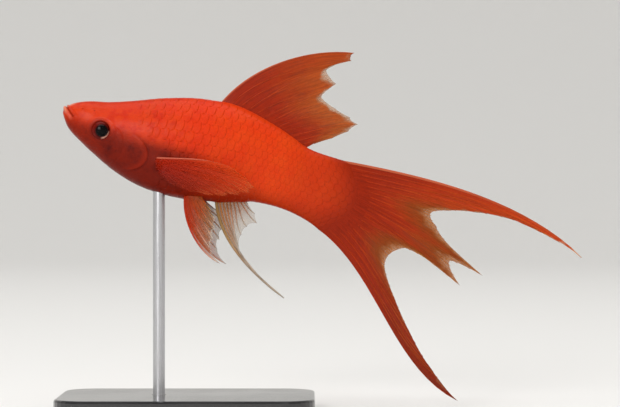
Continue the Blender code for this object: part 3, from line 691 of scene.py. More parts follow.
def relief(x, z, sizes):
    """Height of the head's features over the plain body, in millimetres, and the masks that colour them.

    The mouth is a slit along a plane, with a ridge on each side; nostrils are pits with a rim; the
    orbit is a bowl with a rim; the gill cover rises to the rear and drops at its edge."""
    # Mouth: ahead runs along its line from the corner, over across it to the upper lip
    line = (MOUTH_FRONT - MOUTH_CORNER) / np.linalg.norm(MOUTH_FRONT - MOUTH_CORNER)
    ahead = (x - MOUTH_CORNER[0]) * line[0] + (z - MOUTH_CORNER[1]) * line[1]
    over = (x - MOUTH_CORNER[0]) * line[1] - (z - MOUTH_CORNER[1]) * line[0]
    open_part = smoothstep(-0.3, 0.35, ahead)
    lipped = smoothstep(-0.7, 0.5, ahead) * smoothstep(4.4, 3.6, np.abs(over))
    slit = bell(over, 0.0, 0.17) * open_part
    lips = (bell(over, -0.52, 0.42) + 0.6 * bell(over, 0.36, 0.24)) * lipped
    height = sizes.lip_height / MM * lips - sizes.mouth_depth / MM * slit
    height -= lipped * (0.10 * bell(over, -1.25, 0.22) + 0.06 * bell(over, 0.92, 0.18))
    # Painted shade in the mouth's slit and in a soft band above it
    cavity_shade = 0.34 * smoothstep(0.25, 1.0, slit) + 0.22 * bell(over, 0.3, 0.42) * open_part
    pink = np.clip(1.05 * bell(over, -0.55, 0.42), 0.0, 1.0) * lipped
    pink *= smoothstep(3.9, 2.4, x) * (1.0 - cavity_shade)
    # Painted highlight along the top of the snout over the upper lip, coloured like the lips
    crest_highlight = 0.9 * bell(z - body_at(x, 1), 0.0, 0.34) * smoothstep(0.5, 1.0, x) * smoothstep(3.4, 2.0, x)
    pink = np.maximum(pink, crest_highlight * (over > 0.0))

    # Crease over the nostril and dimple behind the jaw
    brow = z - 2.55 - 0.1 * (x - 4.6)
    crease = 0.07 * bell(brow, 0.45, 0.4) - 0.09 * bell(brow, 0.0, 0.22)
    height += smoothstep(3.4, 5.4, x) * smoothstep(12.0, 8.5, x) * crease
    height -= 0.12 * bell(np.hypot(x - 3.9, z + 1.6), 0.0, 0.55)
    for nose_x, nose_z in NOSTRILS:
        reach = np.hypot(x - nose_x, z - nose_z)
        height += 0.06 * bell(reach, 0.34, 0.13) - 0.20 * bell(reach, 0.0, 0.19)
        # Painted shade in the nostril pits
        cavity_shade = np.maximum(cavity_shade, 0.4 * smoothstep(0.26, 0.08, reach))

    # Orbit: a bowl under the eyeball, with a soft rim and a painted shadow round the eye
    radius = sizes.eye_radius / MM
    from_x, from_z = x - EYE_CENTRE[0], z - EYE_CENTRE[1]
    reach = np.hypot(from_x, from_z)
    height += 0.06 * bell(reach, radius + 0.12, 0.25) + 0.10 * bell(reach, radius + 0.75, 0.6)
    height -= 1.25 * smoothstep(radius - 0.16, radius - 0.45, reach) + 0.04 * bell(reach, radius + 0.55, 0.2)
    shadow = smoothstep(radius + 0.7, radius - 0.3, np.hypot(from_x + 0.25, from_z - 0.1))
    cavity_shade = np.maximum(cavity_shade, 0.6 * shadow)

    # Gill cover: an ellipse that rises to its rear edge, with a groove behind and two seams before it
    across = (x - GILL_CENTRE[0]) / GILL_RADII[0]
    up = (z - GILL_CENTRE[1]) / GILL_RADII[1]
    share = np.hypot(across, up)
    turned = across / np.maximum(share, 0.05)
    rear = np.where(up > 0.0, smoothstep(0.1, 0.9, turned), smoothstep(-0.1, 0.9, turned))
    plate = smoothstep(0.3, 0.96, share) * (1.0 - smoothstep(0.98, 1.045, share))
    height += sizes.gill_step / MM * rear * plate - 0.07 * rear * bell(share, 1.065, 0.05)
    # Painted shade in the groove behind the gill cover
    cavity_shade = np.maximum(cavity_shade, 0.35 * rear * bell(share, 1.06, 0.05))
    edge = rear * smoothstep(0.70, 0.92, share) * (1.0 - smoothstep(0.985, 1.02, share))
    inner = np.hypot((x - 13.2) / 4.0, (z + 4.9) / 4.9)
    height -= 0.09 * bell(inner, 1.0, 0.05) * smoothstep(12.6, 15.0, x)
    seam = np.hypot((x - 9.6) / 5.2, (z + 2.6) / 4.0)
    height -= 0.05 * bell(seam, 1.0, 0.06) * smoothstep(0.2, -0.4, (z + 2.6) / 4.0)

    # Fleshy root of the pectoral fin
    height += 0.28 * bell(np.hypot((x - 25.9) / 1.4, (z + 5.9) / 2.0), 0.0, 1.0)
    return height, {"lip": pink, "cavity_shade": cavity_shade, "edge": edge}


def fin_sheath(points, x):
    """Low fleshy ridges along the roots of the fins on the back and belly: a bell across the midline."""
    middle = body_middle(np.minimum(x, BODY_LENGTH))
    ridge = bell(points[..., 1], 0.0, 1.0)
    dorsal = 0.24 * smoothstep(36.0, 39.0, x) * smoothstep(61.0, 57.5, x)
    anal = 0.3 * smoothstep(41.8, 43.8, x) * smoothstep(51.5, 49.5, x)
    pelvic = 0.2 * smoothstep(34.0, 36.0, x) * smoothstep(41.0, 39.0, x)
    return ridge * np.where(points[..., 2] > middle, dorsal, anal + pelvic)


def tail_share(axis):
    """How far the skin has turned to the colour of the tail fin."""
    return 0.45 * smoothstep(54.0, 68.0, axis) + 0.55 * smoothstep(65.0, 71.5, axis)


def skin_axis():
    """Places of the skin's rings: crowded at the lips, then the eye and gill cover."""
    spans = ((0.015, 0.40, 16), (0.45, 4.2, 72), (4.3, 14.0, 92), (14.15, 26.0, 76), (26.6, 70.6, 56),
             (70.9, AXIS_END, 12))
    return np.concatenate([np.linspace(*span) for span in spans])


def make_skin(sizes, material):
    """Closed skin: mirrored half surfaces, lifted along their normals by the relief."""
    axis = skin_axis()
    half = half_surface(axis, HALF_RING)
    normal = body_normals(half)
    height, masks = relief(half[..., 0], half[..., 2], sizes)
    height = height + fin_sheath(half, axis[:, None])
    half = half + height[..., None] * normal
    half[:, [0, -1], 1] = 0.0

    def whole(half_ring):
        """Both halves of each ring, from the belly over the left side and the back to the right."""
        return np.concatenate([half_ring[:, ::-1], half_ring[:, 1:-1]], axis=1)

    rings = whole(half)
    rings[:, :HALF_RING, 1] *= -1.0
    count = rings.shape[1]
    snout = rings[0].mean(axis=0) - (0.02, 0.0, 0.0)
    points = np.concatenate([rings.reshape(-1, 3), [snout]])
    masks["tail"] = np.broadcast_to(tail_share(axis)[:, None], height.shape)
    masks = {key: whole(mask) for key, mask in masks.items()}
    values = {key: np.append(mask.ravel(), mask[0].mean()) for key, mask in masks.items()}

    # The rear end is closed straight across by a strip of quads between two triangles
    fan = pole_fan(len(points) - 1, 0, count)
    last = (len(axis) - 1) * count
    inner = np.arange(1, HALF_RING - 2)
    strip = last + np.stack([inner, inner + 1, count - inner - 1, count - inner], axis=1)
    ends = last + np.array([[0, 1, count - 1], [HALF_RING - 2, HALF_RING - 1, HALF_RING]])

    u = axis / AXIS_END
    v = np.linspace(0.0, 1.0, count + 1)
    fan_u = np.broadcast_to((0.0, u[0], u[0]), (count, 3))
    fan_uv = np.stack([fan_u, np.stack([v[:-1] + 0.5 / count, v[1:], v[:-1]], axis=1)], axis=-1)

    def cap_uv(group):
        return np.stack([np.ones(group.shape), v[(group - last) % count]], axis=-1)

    faces = [grid_quads(len(axis), count, wrap=True), strip, np.concatenate([fan, ends])]
    uvs = [grid_uv(u, v), cap_uv(strip), np.concatenate([fan_uv, cap_uv(ends)])]
    return make_piece("fish_skin", to_world(points, sizes.pitch), faces, material, uvs, values=values)


# Scales


def first_scale(t):
    """Where the scales begin on the axis, by the share of the way from back to belly."""
    shares = (0.0, 0.16, 0.3, 0.42, 0.5, 0.6, 0.75, 0.88, 1.0)
    places = (14.5, 15.5, 17.5, 21.0, 24.4, 25.9, 25.9, 24.6, 23.0)
    return np.interp(t, shares, places)


def scale_places(sizes):
    """Axis place and back-to-belly share of each scale's centre: rows shifted by half a step each."""
    rows = sizes.scale_rows
    axis = np.linspace(10.0, AXIS_END, 400)
    surface = half_surface(axis, 60)
    girth = np.linalg.norm(np.diff(surface[:, :, 1:], axis=1), axis=-1).sum(axis=1)
    pitch = SCALE_STEP * girth / (rows - 1)
    number = np.cumsum(np.gradient(axis) / pitch)
    j = np.arange(rows)[:, None]
    i = np.arange(int(number[-1]) + 1)[None, :]
    x = np.interp(i + 0.5 * (j % 2), number, axis)
    t = np.broadcast_to(j / (rows - 1.0), x.shape)
    keep = (x > first_scale(t)) & (x < LAST_SCALE)
    rng = np.random.default_rng(SEED)
    jitter = rng.normal(0.0, 1.0, (2, *x.shape))
    x = x + 0.04 * jitter[0]
    local = np.interp(x, axis, pitch)
    return x[keep], t[keep], local[keep], jitter[1][keep]


def make_scales(sizes, side, material):
    """Joined closed plates: each a small grid on the skin, sunk at its root and lifted at its rounded rear.

    The rows on the back and belly lines cross the middle plane, and belong to the left side."""
    axis = np.linspace(8.0, AXIS_END, 520)
    surface = half_surface(axis, SCALE_SURFACE)
    normal = body_normals(surface)
    height = relief(surface[..., 0], surface[..., 2], sizes)[0] * smoothstep(21.0, 22.4, axis)[:, None]
    surface = surface + (height + fin_sheath(surface, axis[:, None]))[..., None] * normal
    x, t, pitch, jitter = scale_places(sizes)
    if side > 0.0:
        x, t, pitch, jitter = (column[(t > 0.0) & (t < 1.0)] for column in (x, t, pitch, jitter))

    # Outline of a plate: a from its root to its rear edge, b across it
    along = np.array((0.0, SCALE_MIDDLE, 0.74, 0.92, 1.0))
    across = np.array((-1.0, -0.6, 0.0, 0.6, 1.0))
    a, b = np.meshgrid(along, across, indexing="ij")
    outline = np.sqrt(np.clip(1.0 - (np.clip(a - SCALE_MIDDLE, 0.0, 1.0) / 0.62) ** 2.2, 0.0, 1.0))
    outline *= 0.72 + 0.28 * smoothstep(0.0, 0.45, a)
    x, t, pitch, jitter = (column[:, None, None] for column in (x, t, pitch, jitter))
    size = 1.0 + 0.04 * jitter
    place = x + (a - SCALE_MIDDLE) * SCALE_LENGTH * pitch * size * (1.0 - 0.05 * b ** 2)
    share = t + b * outline * SCALE_WIDTH * size / (sizes.scale_rows - 1)
    mirrored = np.where(((share < 0.0) | (share > 1.0))[..., None], (1.0, -1.0, 1.0), 1.0)
    share = 1.0 - np.abs(1.0 - np.abs(share))

    # The skin under the plates, read from its grid between the four nearest corners
    row = np.clip((place - axis[0]) / (axis[1] - axis[0]), 0.0, len(axis) - 1.001)
    column = np.clip(share * (SCALE_SURFACE - 1), 0.0, SCALE_SURFACE - 1.001)
    i, j = row.astype(int), column.astype(int)
    far, right = (row - i)[..., None], (column - j)[..., None]

    def sample(grid):
        here = grid[i, j] * (1.0 - right) + grid[i, j + 1] * right
        there = grid[i + 1, j] * (1.0 - right) + grid[i + 1, j + 1] * right
        return (here * (1.0 - far) + there * far) * mirrored

    up = unit(sample(normal))
    lift = sizes.scale_lift / MM * (0.7 + 0.3 * smoothstep(14.0, 28.0, x))
    rise = lift * a - 0.06 * (1.0 - a) ** 2 - 0.03 * b ** 2
    top = sample(surface) + rise[..., None] * up
    plates = np.stack([top, top - SCALE_THICKNESS * up], axis=1) * (1.0, side, 1.0)

    rows, columns = a.shape
    one = sheet_quads(rows, columns)
    first = 2 * a.size * np.arange(len(x))[:, None, None]
    quads = (one + first).reshape(-1, 4)
    flat = np.tile(np.arange(len(one)) >= (rows - 1) * (columns - 1), len(x))

    root_v = 0.5 + 0.5 * side * t
    uv = np.stack([x / AXIS_END + SCALE_PATCH * (a - 0.5), root_v + 0.5 * SCALE_PATCH * b], axis=-1)
    uv = np.stack([uv, uv], axis=1).reshape(-1, 2)
    values = {"tile": a, "on_scale": 1.0, "tone": np.clip(np.abs(jitter), 0.0, 1.2)[:, None],
              "tail": tail_share(place)[:, None]}
    values = {key: np.broadcast_to(value, plates.shape[:-1]) for key, value in values.items()}
    name = "scales_left" if side < 0.0 else "scales_right"
    points = to_world(plates.reshape(-1, 3), sizes.pitch)
    return make_piece(name, points, [quads], material, [uv[quads]], "OFBake", values, flat)


# Eyes


def eye_material(sizes, colours):
    """Wet eye: rings of colour by the distance from the pupil, silvery low and behind."""
    material, tree, shader = new_material("eye_wet", 0.06, Specular_IOR_Level=0.08)
    place = fish_place(tree, sizes.pitch)
    centred = vector_math(tree, "SUBTRACT", place, (PUPIL_CENTRE[0], 0.0, PUPIL_CENTRE[1]))
    flat = vector_math(tree, "MULTIPLY", centred, (1.0, 0.0, 1.0))
    reach = vector_math(tree, "LENGTH", flat, output="Value")
    low = vector_math(tree, "DOT_PRODUCT", flat, (0.83, 0.0, -0.56), "Value")
    streaks = noise(tree, flat, 5.0, 4.0, 0.7)
    iris = mix(tree, ramp(tree, streaks, 0.35, 0.65, 0.0, 0.5), rgba(colours.iris), rgba(colours.shade))
    iris = mix(tree, ramp(tree, reach, 2.1, 1.35), iris, rgba((0.012, 0.001, 0.001)))
    side = math_of(tree, "DIVIDE", low, reach)
    band = times(tree, ramp(tree, reach, 1.45, 1.62), ramp(tree, reach, 2.3, 1.95))
    silver = times(tree, ramp(tree, side, 0.55, 0.95), times(tree, band, 0.85))
    iris = mix(tree, times(tree, silver, ramp(tree, streaks, 0.25, 0.55, 0.6, 1.0)), iris,
               rgba(colours.silver))
    colour = mix(tree, ramp(tree, reach, 1.42, 1.34), iris, rgba((0.002, 0.002, 0.002)))
    tree.links.new(colour, shader.inputs["Base Color"])
    bump(tree, shader, streaks, EYE_BUMP, 0.5)
    return material


def make_eye(sizes, side, material):
    """Closed surface turned about the eye's own axis: an ellipsoid whose pupil swells into a lens."""
    turn = np.linspace(-0.5, 0.5, 73) * math.pi
    reach = sizes.eye_radius / MM * np.cos(turn)
    lens = 0.10 * smoothstep(1.5, 1.1, reach) - 0.07 * bell(reach, 1.42, 0.12)
    depth = EYE_HALF_DEPTH * np.sin(turn) + np.where(turn > 0.0, lens, 0.0)
    y = side * (flank(EYE_CENTRE[0], np.array(EYE_CENTRE[1])) - EYE_SINK + depth)
    middle = np.array((EYE_CENTRE[0], 0.0, EYE_CENTRE[1]))
    rings = turned_rings(reach[1:-1], y[1:-1], EYE_SIDES)[..., [0, 2, 1]] + middle
    poles = [middle + (0.0, y[k], 0.0) for k in (0, -1)]
    points = np.concatenate([rings.reshape(-1, 3), poles])
    last = (len(rings) - 1) * EYE_SIDES
    fans = np.concatenate([pole_fan(len(points) - 2, 0, EYE_SIDES),
                           pole_fan(len(points) - 1, last, EYE_SIDES)[:, ::-1]])
    name = "eyeball_left" if side < 0.0 else "eyeball_right"
    faces = [grid_quads(len(rings), EYE_SIDES, wrap=True), fans]
    return make_piece(name, to_world(points, sizes.pitch), faces, material)


# Fins


def root_line(start, end, column, sink):
    """Root of a fin on the back (1) or belly (2), a little inside the body."""
    def place(w):
        x = start + (end - start) * w
        return np.stack([x, body_at(x, column) + sink], axis=-1)
    return place


def caudal_root(w):
    top, bottom = body_at(BODY_LENGTH, 1), body_at(BODY_LENGTH, 2)
    z = top + (bottom - top) * (0.015 + 0.97 * w)
    return np.stack([BODY_LENGTH + tail_bulge(BODY_LENGTH, z) - 0.6, z], axis=-1)


def pectoral_root(w):
    return np.stack([25.9 + 1.2 * w, -4.4 - 2.9 * w], axis=-1)


def pectoral_side(side):
    def lean(u, w):
        seat = pectoral_root(w)
        stand_off = 2.2 * (1.0 - np.exp(-u / 0.06)) + 1.3 * u
        return side * (flank(seat[..., 0], seat[..., 1]) - 0.5 + stand_off)
    return lean


def pelvic_fin(side):
    sweep = 0.0 if side < 0.0 else 1.3
    knots = ((0.0, 48.4, -25.0), (0.2, 45.4, -22.3), (0.4, 45.1, -19.6),
             (0.6, 44.9, -17.1), (0.8, 44.3, -14.8), (1.0, 42.6, -12.9))
    return {
        "root": root_line(35.3, 39.3, 2, 0.9),
        "margin": tuple((w, x + sweep, z) for w, x, z in knots),
        "root_angles": ((0.0, -80.0), (0.5, -62.0), (1.0, -38.0)),
        "tip_angles": ((0.0, -10.0), (0.3, -46.0), (1.0, -22.0)),
        "side": lambda u, w: side * (1.9 + 2.4 * u + 0.5 * w),
        "flare": (1.1, 2.0), "rows": 56, "notch": 0.05, "plain": tuple(range(6)), "ray": 1.35, "taper": 0.4,
    }


def pectoral_fin(side):
    return {
        "root": pectoral_root,
        "margin": ((0.00, 45.6, -1.6), (0.12, 49.4, -3.0), (0.25, 51.7, -4.7), (0.38, 50.6, -6.2),
                   (0.50, 48.2, -7.6), (0.63, 45.2, -8.7), (0.76, 41.2, -9.6), (0.88, 36.6, -10.0),
                   (1.00, 31.6, -9.6)),
        "root_angles": ((0.0, 12.0), (0.5, 0.0), (1.0, -18.0)),
        "tip_angles": ((0.0, -12.0), (0.25, -24.0), (0.6, -16.0), (1.0, -12.0)),
        "side": pectoral_side(side),
        "flare": (1.0, 2.5), "rows": 64, "notch": 0.045, "plain": (0,), "ray": 0.9, "taper": 0.4,
    }


FINS = {
    "dorsal_fin": {
        "root": root_line(37.3, 60.2, 1, -0.5),
        "margin": ((0.00, 65.6, 34.9), (0.10, 65.5, 32.8), (0.20, 62.6, 31.3), (0.29, 60.1, 28.7),
                   (0.38, 63.5, 26.2), (0.47, 61.3, 23.2), (0.55, 61.3, 21.6), (0.64, 65.0, 20.2),
                   (0.73, 69.2, 19.1), (0.81, 71.6, 18.0), (0.88, 69.8, 15.6), (0.94, 66.4, 12.8),
                   (1.00, 62.6, 10.3)),
        "root_angles": ((0.0, 68.0), (0.2, 60.0), (0.5, 45.0), (0.8, 32.0), (1.0, 16.0)),
        "tip_angles": ((0.0, 11.0), (0.2, 35.0), (0.4, 36.0), (0.6, 30.0), (0.8, 18.0), (1.0, 6.0)),
        "side": lambda u, w: 1.6 * u ** 2 * (1.0 - 0.6 * w),
        "flare": (1.3, 2.5), "rows": 90, "notch": 0.022, "plain": (0,), "ray": 1.0,
    },
    "anal_fin": {
        "root": root_line(43.0, 49.6, 2, 0.5),
        "margin": ((0.00, 66.2, -28.9), (0.12, 59.5, -25.9), (0.24, 55.9, -24.2), (0.36, 53.2, -22.0),
                   (0.48, 51.7, -19.8), (0.60, 51.5, -16.8), (0.70, 52.2, -14.5), (0.80, 54.4, -12.9),
                   (0.90, 53.2, -10.8), (1.00, 51.0, -9.0)),
        "root_angles": ((0.0, -72.0), (0.5, -62.0), (0.8, -38.0), (1.0, -20.0)),
        "tip_angles": ((0.0, -21.0), (0.3, -42.0), (0.5, -50.0), (0.8, -20.0), (1.0, -10.0)),
        "side": lambda u, w: -1.4 * u ** 2 * (1.0 - w),
        "flare": (1.1, 2.0), "rows": 70, "notch": 0.06, "plain": tuple(range(10)), "ray": 1.3, "taper": 0.3,
        "first_width": 1.6,
    },
    "caudal_fin": {
        "root": caudal_root,
        "margin": ((0.00, 135.0, 1.9), (0.06, 127.6, 4.2), (0.12, 117.3, 6.1), (0.18, 106.6, 5.3),
                   (0.24, 99.5, 3.7), (0.30, 95.6, 2.2), (0.35, 97.7, -0.9), (0.40, 102.5, -4.8),
                   (0.44, 112.3, -9.5), (0.48, 103.3, -8.2), (0.53, 107.5, -13.5), (0.57, 97.5, -9.4),
                   (0.62, 91.7, -8.3), (0.68, 88.6, -10.6), (0.74, 88.0, -14.2), (0.81, 92.6, -21.0),
                   (0.88, 99.2, -28.7), (0.94, 106.5, -35.4), (1.00, 114.9, -41.1)),
        "root_angles": ((0.0, 6.0), (0.3, 1.0), (0.44, -10.0), (0.55, -16.0), (0.68, -28.0), (1.0, -20.0)),
        "tip_angles": ((0.0, -27.0), (0.12, -8.0), (0.3, -3.0), (0.4, -18.0), (0.48, -24.0),
                       (0.53, -29.0), (0.62, -18.0), (0.74, -38.0), (0.88, -38.0), (1.0, -10.0)),
        "side": lambda u, w: u ** 2 * (3.2 - 5.4 * w),
        "flare": (2.3, 4.5), "rows": 130, "notch": 0.03, "plain": (0, 18), "ray": 1.1,
        "first_width": 1.6, "taper": 0.3,
    },
    "pelvic_fin_left": pelvic_fin(-1.0),
    "pelvic_fin_right": pelvic_fin(1.0),
    "pectoral_fin_left": pectoral_fin(-1.0),
    "pectoral_fin_right": pectoral_fin(1.0),
}


def bezier(u, start, end, start_angle, end_angle):
    """Cubic curves in the fish's middle plane with given end directions in degrees."""
    span = np.linalg.norm(end - start, axis=-1)[..., None] / 3.0
    first = np.stack([np.cos(np.radians(start_angle)), np.sin(np.radians(start_angle))], axis=-1)
    last = np.stack([np.cos(np.radians(end_angle)), np.sin(np.radians(end_angle))], axis=-1)
    u = u[..., None]
    a, b = start + span * first, end - span * last
    return (1 - u) ** 3 * start + 3 * (1 - u) ** 2 * u * a + 3 * (1 - u) * u * u * b + u ** 3 * end


def ray_places(fin):
    """Where the rays stand across the fin: zero at the first and one at the last."""
    return np.array(fin["margin"])[:, 0]


def ray_number(fin, w):
    """Place across the fin counted in rays."""
    return np.interp(w, ray_places(fin), np.arange(len(fin["margin"])))


def fin_points(fin, u, w, pleat):
    """Middle surface of a fin: u from root to margin, w from the first ray to the last.

    Each ray is a cubic curve from the root line to its tip; neighbouring rays fold to either side
    by a cosine over the ray's number that grows with the square of u."""
    places, tip_x, tip_z = np.array(fin["margin"]).T
    tip = np.stack([np.interp(w, places, tip_x), np.interp(w, places, tip_z)], axis=-1)
    angles = [np.interp(w, *np.array(fin[key]).T) for key in ("root_angles", "tip_angles")]
    plane = bezier(u, fin["root"](w), tip, *angles)
    fold = pleat * np.cos(math.pi * ray_number(fin, w)) * u ** 2 * (1.0 - 0.5 * u)
    return np.stack([plane[..., 0], fin["side"](u, w) + fold, plane[..., 1]], axis=-1)


def fin_normals(fin, u, w, pleat):
    """Unit normals by small steps along and across the rays."""
    def place(along, across):
        return fin_points(fin, np.clip(u + along, 0.0, 1.0), np.clip(w + across, 0.0, 1.0), pleat)

    step = 0.004
    return unit(np.cross(place(step, 0.0) - place(-step, 0.0), place(0.0, step) - place(0.0, -step)))


def margin_share(fin, w, seed):
    """How far out the membrane reaches: one at a ray's tip and notched between the rays."""
    number = ray_number(fin, w)
    ray = number.astype(int)
    between = number - ray
    depth = fin["notch"] * np.random.default_rng(seed).uniform(0.5, 1.5, len(fin["margin"]))[ray]
    fringe = 0.006 * np.sin(9.0 * math.pi * number)
    fringe *= smoothstep(0.0, 0.15, between) * smoothstep(1.0, 0.85, between)
    return 1.0 - depth * 4.0 * between * (1.0 - between) - np.abs(fringe)


def sheet_half(fin, sizes, u, w, length):
    """Half thickness of a fin's membrane: thick at the root, thinning along the rays and to both sides."""
    thick, reach = fin["flare"]
    thick = thick * (1.0 - 0.7 * (2.0 * w - 1.0) ** 4)
    return 0.5 * (sizes.membrane / MM * (1.0 - 0.45 * u) + thick * np.exp(-(u * length / reach) ** 2))


def make_membrane(name, fin, sizes, pitch, material, seed):
    """Closed thin sheet: the fin's middle surface moved both ways along its normals."""
    pleat = sizes.pleat / MM
    last = len(fin["margin"]) - 1
    number = np.linspace(0.0, last, MEMBRANE_COLUMNS * last + 1)
    w = np.interp(number, np.arange(last + 1), ray_places(fin))
    rows = np.linspace(0.0, 1.0, fin["rows"]) ** 1.1
    u = rows[:, None] * margin_share(fin, w, seed)
    across = np.broadcast_to(w, u.shape)
    points = fin_points(fin, u, across, pleat)
    length = np.linalg.norm(points[-1] - points[0], axis=-1)
    shift = sheet_half(fin, sizes, u, across, length)[..., None] * fin_normals(fin, u, across, pleat)
    world = to_world(np.stack([points + shift, points - shift]).reshape(-1, 3), pitch)

    quads = sheet_quads(*u.shape)
    face_uv = grid_uv(rows, w)[..., ::-1]
    wall_uv = np.stack([across, u], axis=-1).reshape(-1, 2)[quads[2 * len(face_uv):] % u.size]
    uvs = [np.concatenate([face_uv, face_uv[:, ::-1], wall_uv])]
    return make_piece(name + "_membrane", world, [quads], material, uvs)


def ray_table(fin, seed):
    """Rays and their branches, a row each: ray place, start, end, both branch offsets and splits, width."""
    places = ray_places(fin)
    rng = np.random.default_rng(seed)
    table = []
    for k, place in enumerate(places):
        first, second = 0.30 + 0.10 * rng.random(), 0.60 + 0.12 * rng.random()
        if k in fin["plain"]:
            width = fin.get("first_width", 1.15) if k == 0 else 1.0 - 0.4 * place
            table.append((place, 0.0, 1.0, 0.0, 0.0, first, second, width))
            continue
        table.append((place, 0.0, first + 0.06, 0.0, 0.0, first, second, 1.0))
        for near in (k - 1, k + 1):
            if not 0 <= near < len(places):
                continue
            fork = BRANCH_SPREAD * (places[near] - place)
            table.append((place, first, second + 0.05, fork, 0.0, first, second, 0.74))
            for turn in (-TWIG_SPREAD, TWIG_SPREAD):
                twig = turn * abs(places[near] - place)
                table.append((place, second, 1.0, fork, twig, first, second, 0.56))
    return np.array(table)


def make_rays(name, fin, sizes, pitch, material, seed):
    """Tapered closed tubes along the rays: rounded sections swept along each curve, that fork twice."""
    pleat = sizes.pleat / MM
    table = ray_table(fin, seed)
    place, start, end, fork, twig, first, second, width = (column[:, None] for column in table.T)
    t = np.linspace(0.0, 1.0, RAY_STATIONS) ** 1.1
    u = start + (end - start) * t
    w = place + fork * smoothstep(0.0, 1.0, (u - first) / 0.3)
    w = np.clip(w + twig * smoothstep(0.0, 1.0, (u - second) / 0.3), 0.0, 1.0)
    short = 0.6 * (1.0 - margin_share(fin, w, seed)) * smoothstep(0.8, 1.0, u)
    u = np.where(end >= 1.0, u * (1.0 - short), u)
    centre = fin_points(fin, u, w, pleat)
    along = unit(np.gradient(centre, axis=1))
    over = unit(np.cross(along, fin_normals(fin, u, w, pleat)))
    normal = np.cross(over, along)

    # Widths: thinner outwards, tapered in where a branch starts and out where it ends
    root, tip = (fin_points(fin, np.full_like(place, share), place, 0.0) for share in (0.0, 1.0))
    deep = sheet_half(fin, sizes, u, w, np.linalg.norm(tip - root, axis=-1))
    radius = fin["ray"] * sizes.ray_radius / MM * width * (1.0 - fin.get("taper", 0.62) * u)
    radius *= np.where(start > 0.0, smoothstep(-0.25, 0.12, t), 1.0)
    radius *= np.where(end < 1.0, 1.0 - 0.45 * smoothstep(0.75, 1.0, t), smoothstep(1.08, 0.9, t))
    deep = 0.6 * radius + deep * smoothstep(0.0, 0.1, radius)
    spin = 2.0 * math.pi * np.arange(RAY_SIDES)[:, None] / RAY_SIDES
    points = (centre[:, :, None] + np.cos(spin) * (deep[..., None] * normal)[:, :, None]
              + np.sin(spin) * (radius[..., None] * over)[:, :, None])

    shift = RAY_STATIONS * RAY_SIDES * np.arange(len(table))[:, None, None]
    quads = (grid_quads(RAY_STATIONS, RAY_SIDES, wrap=True) + shift).reshape(-1, 4)
    cap = np.arange(RAY_SIDES) + shift[:, 0]
    faces = [quads, np.concatenate([cap[:, ::-1], cap + (RAY_STATIONS - 1) * RAY_SIDES])]
    uv = np.stack([np.repeat(w, RAY_SIDES), np.repeat(u, RAY_SIDES)], axis=-1)
    world = to_world(points.reshape(-1, 3), pitch)
    return make_piece(name + "_rays", world, faces, material, [uv[group] for group in faces])


def fin_look(*colours, fade, opacity=(1.0, 0.95, 0.9, 0.75), streaks=30.0, tip=None, **more):
    """Inputs of the fin tissue: its six colours in order, four opacities, and others by name."""
    named = {key.replace("_", " ").title(): value for key, value in more.items()}
    return {**dict(zip(FIN_COLOURS, colours)), "Tip": tip or colours[4], **dict(zip(FIN_OPACITIES, opacity)),
            "Fade Start": fade, "Streaks": streaks, **named}


